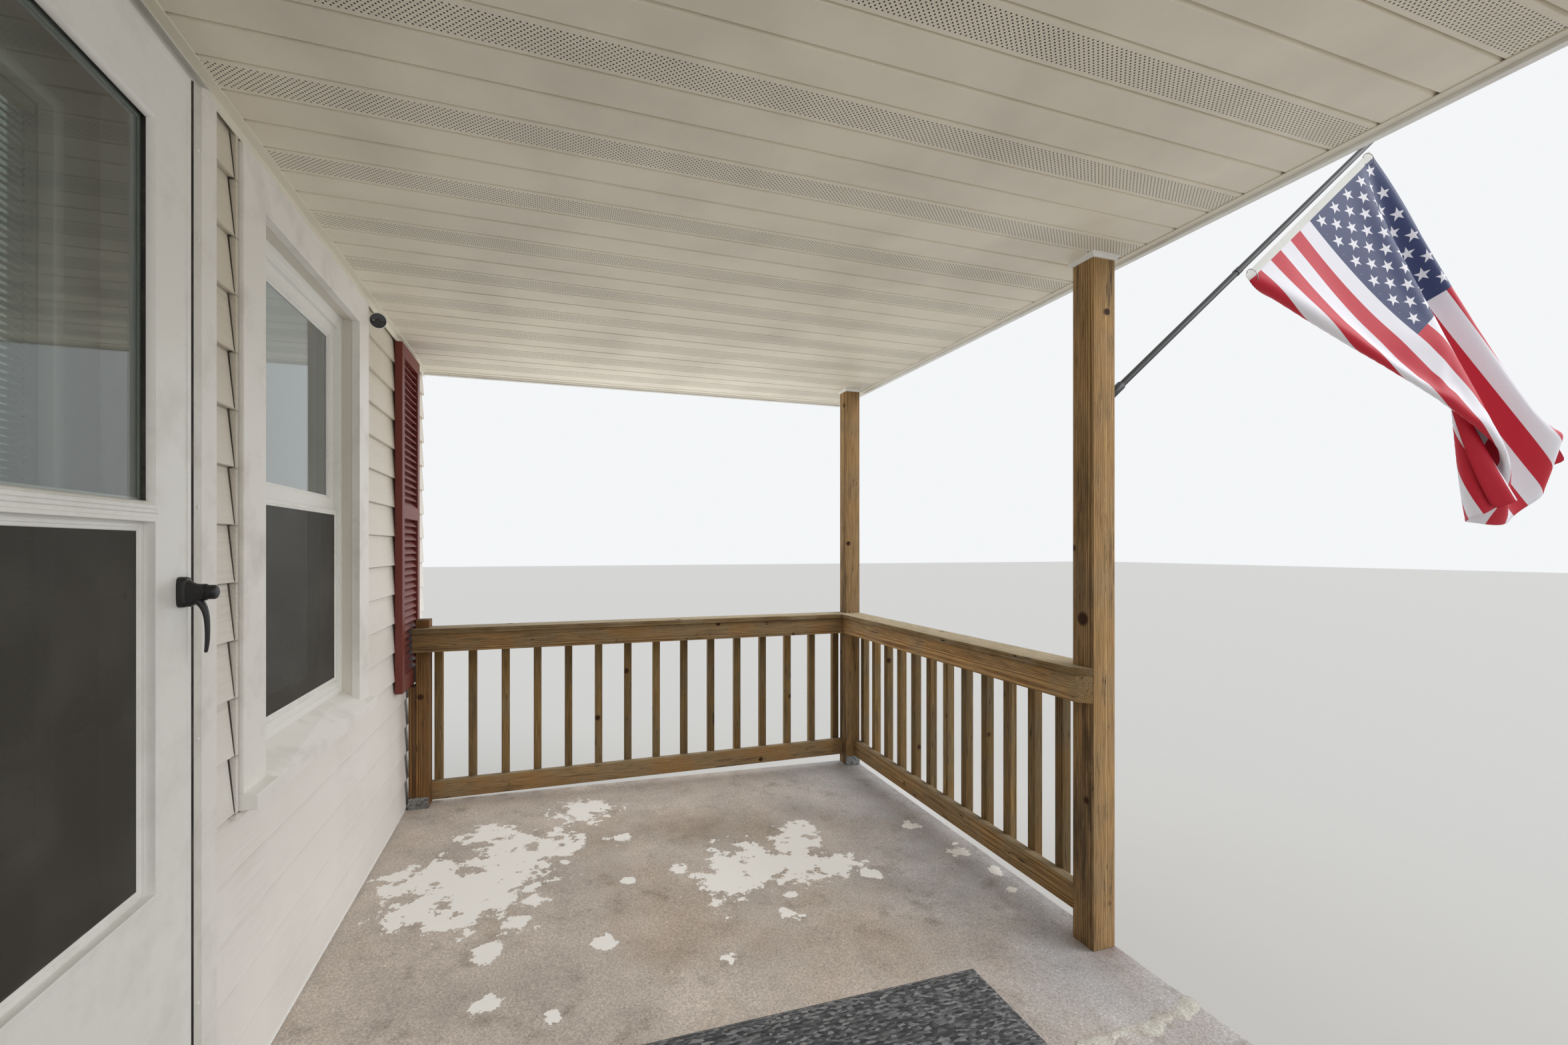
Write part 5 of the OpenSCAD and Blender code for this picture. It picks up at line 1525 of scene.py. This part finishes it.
@dataclass
class Camera:
    """The small security camera beside the window, with its head turned along the wall."""

    axis: Point = (-0.9403, -0.1999, -0.2756)
    off: float = 4 * MM
    glow_off: float = 15 * MM

    def build(self) -> None:
        """Turn the camera's foot and head, its glossy black face, its lens and the sensor beside it."""
        low, high = span("security_camera")
        middle = (low + high) / 2
        foot = np.array([[middle[0], high[1], middle[2]]])
        head = np.array([[middle[0] + self.off, middle[1] - self.off, middle[2]]])
        stem = np.array([(0, -7), (20, -7), (20, 2.5), (18.5, 4.5), (9.5, 7), (7.5, 9), (7.5, 24), (0, 24)]) * MM
        shell = np.array([(0, -20.5), (11, -20.2), (20, -18), (26.5, -13), (29.3, -7), (30, 0), (30, 10), (29.6, 13),
            (28.8, 14.2), (27.8, 14.2), (27.4, 13), (27.4, 11), (0, 11)]) * MM
        case = Shape().turned(foot, (0, -1, 0), stem).turned(head, self.axis, shell).build(
            "camera_case", ENAMEL, "porch", "vinyl_white")
        section = np.array([(0, 11.1), (27.2, 11.1), (27.2, 12.0), (26.6, 12.7), (15, 13.4), (8.2, 13.7), (8.0, 14.6),
            (7, 14.8), (6.4, 13.2), (3.6, 12.8), (3.2, 13.6), (0, 14)]) * MM
        face = Shape().turned(head, self.axis, section)
        face = face.build("camera_face", LENS_BLACK, "porch", "black_metal")
        spot = head + unit(np.cross(self.axis, [0.0, 0.0, 1.0])) * self.glow_off
        glow = np.array([(0, 12.5), (3.2, 12.5), (3.4, 13.9), (2.4, 14.5), (0, 14.8)]) * MM
        Shape().turned(spot, self.axis, glow, 20).build("camera_sensor", SENSOR, "porch", "black_metal")
        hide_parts("security_camera")
        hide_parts("security_camera")


@dataclass
class Studio:
    """The camera at the photograph's place, a pale floor and soft light."""

    eye: Point = (-1.097, 0.5166, 1.593)
    look: Point = (0.9447, -0.3279, 0.0)
    lens: float = 15.0
    rise: float = 0.0162
    sky: float = 0.82
    sun: tuple[Point, float, float] = ((0.44, 0.72, -0.53), 42.0, 1.6)
    panel: tuple[Point, tuple[float, float], float] = ((3.3, -0.1, 1.35), (2.1, 2.3), 17.0)

    def build(self) -> None:
        """Set up the view, the floor, the sky and the lamps."""
        scene = bpy.context.scene
        scene.view_settings.view_transform = "Standard"
        data = bpy.data.cameras.new("view")
        data.lens, data.sensor_width, data.shift_y = self.lens, 36.0, self.rise
        data.clip_start, data.clip_end = 0.02, 200
        view = bpy.data.objects.new("view", data)
        view.location = self.eye
        view.rotation_euler = Vector(self.look).to_track_quat("-Z", "Y").to_euler()
        scene.collection.objects.link(view)
        scene.camera = view
        self.floor()
        self.light()

    def floor(self) -> None:
        """Lay a wide pale floor just under the slab."""
        mesh = bpy.data.meshes.new("floor")
        size, level = 60.0, -1 * MM
        corners = ((-size, -size), (size, -size), (size, size), (-size, size))
        mesh.from_pydata([(x, y, level) for x, y in corners], [], [(0, 1, 2, 3)])
        mesh.materials.append(Coated("pale_studio_floor", "#cfcecb", dusty=0.0, gloss=0.8).material())
        floor = bpy.data.objects.new("floor", mesh)
        bpy.context.scene.collection.objects.link(floor)

    def light(self) -> None:
        """Hang a pale sky and a sun as wide as a bank of soft lamps, and a soft panel at each open end."""
        world = bpy.data.worlds.new("sky")
        bpy.context.scene.world = world
        world.use_nodes = True
        path = Net(world.node_tree).add("LightPath")
        seen = path["Is Camera Ray"].math("MAXIMUM", path["Is Glossy Ray"])
        level = seen.math("MAXIMUM", path["Is Transmission Ray"]).ramp(start=self.sky, end=1.0)
        join(path.tree, path.tree.nodes["Background"], {"Color": "#f4f6f8", "Strength": level})
        towards, spread, power = self.sun
        lamp = self.lamp("wide_sun", "SUN", (0, 0, 9), towards, power)
        lamp.data.angle = math.radians(spread)
        place, size, power = self.panel
        for number, side in enumerate((-1, 1)):
            lamp = self.lamp(f"end_panel_{number}", "AREA", (side * place[0], *place[1:]), (-side, 0, 0), power)
            lamp.data.shape, (lamp.data.size, lamp.data.size_y) = "RECTANGLE", size
            lamp.visible_camera = lamp.visible_glossy = lamp.visible_transmission = False

    @staticmethod
    def lamp(name: str, kind: str, place: Point, towards: Point, power: float) -> bpy.types.Object:
        """Return a new lamp at a place, turned the way given."""
        data = bpy.data.lights.new(name, kind)
        data.energy = power
        lamp = bpy.data.objects.new(name, data)
        lamp.location = place
        lamp.rotation_euler = Vector(towards).to_track_quat("-Z", "Y").to_euler()
        bpy.context.scene.collection.objects.link(lamp)
        return lamp


def main() -> None:
    """Build and dress the porch."""
    logging.basicConfig(level=logging.INFO, format="%(name)s %(message)s")
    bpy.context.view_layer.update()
    for part in (Timber(), Wall(), Roof(), Windows(), StormDoor(), EntryDoor(), Flag(), Camera(), Studio()):
        part.build()


if __name__ == "__main__":
    main()
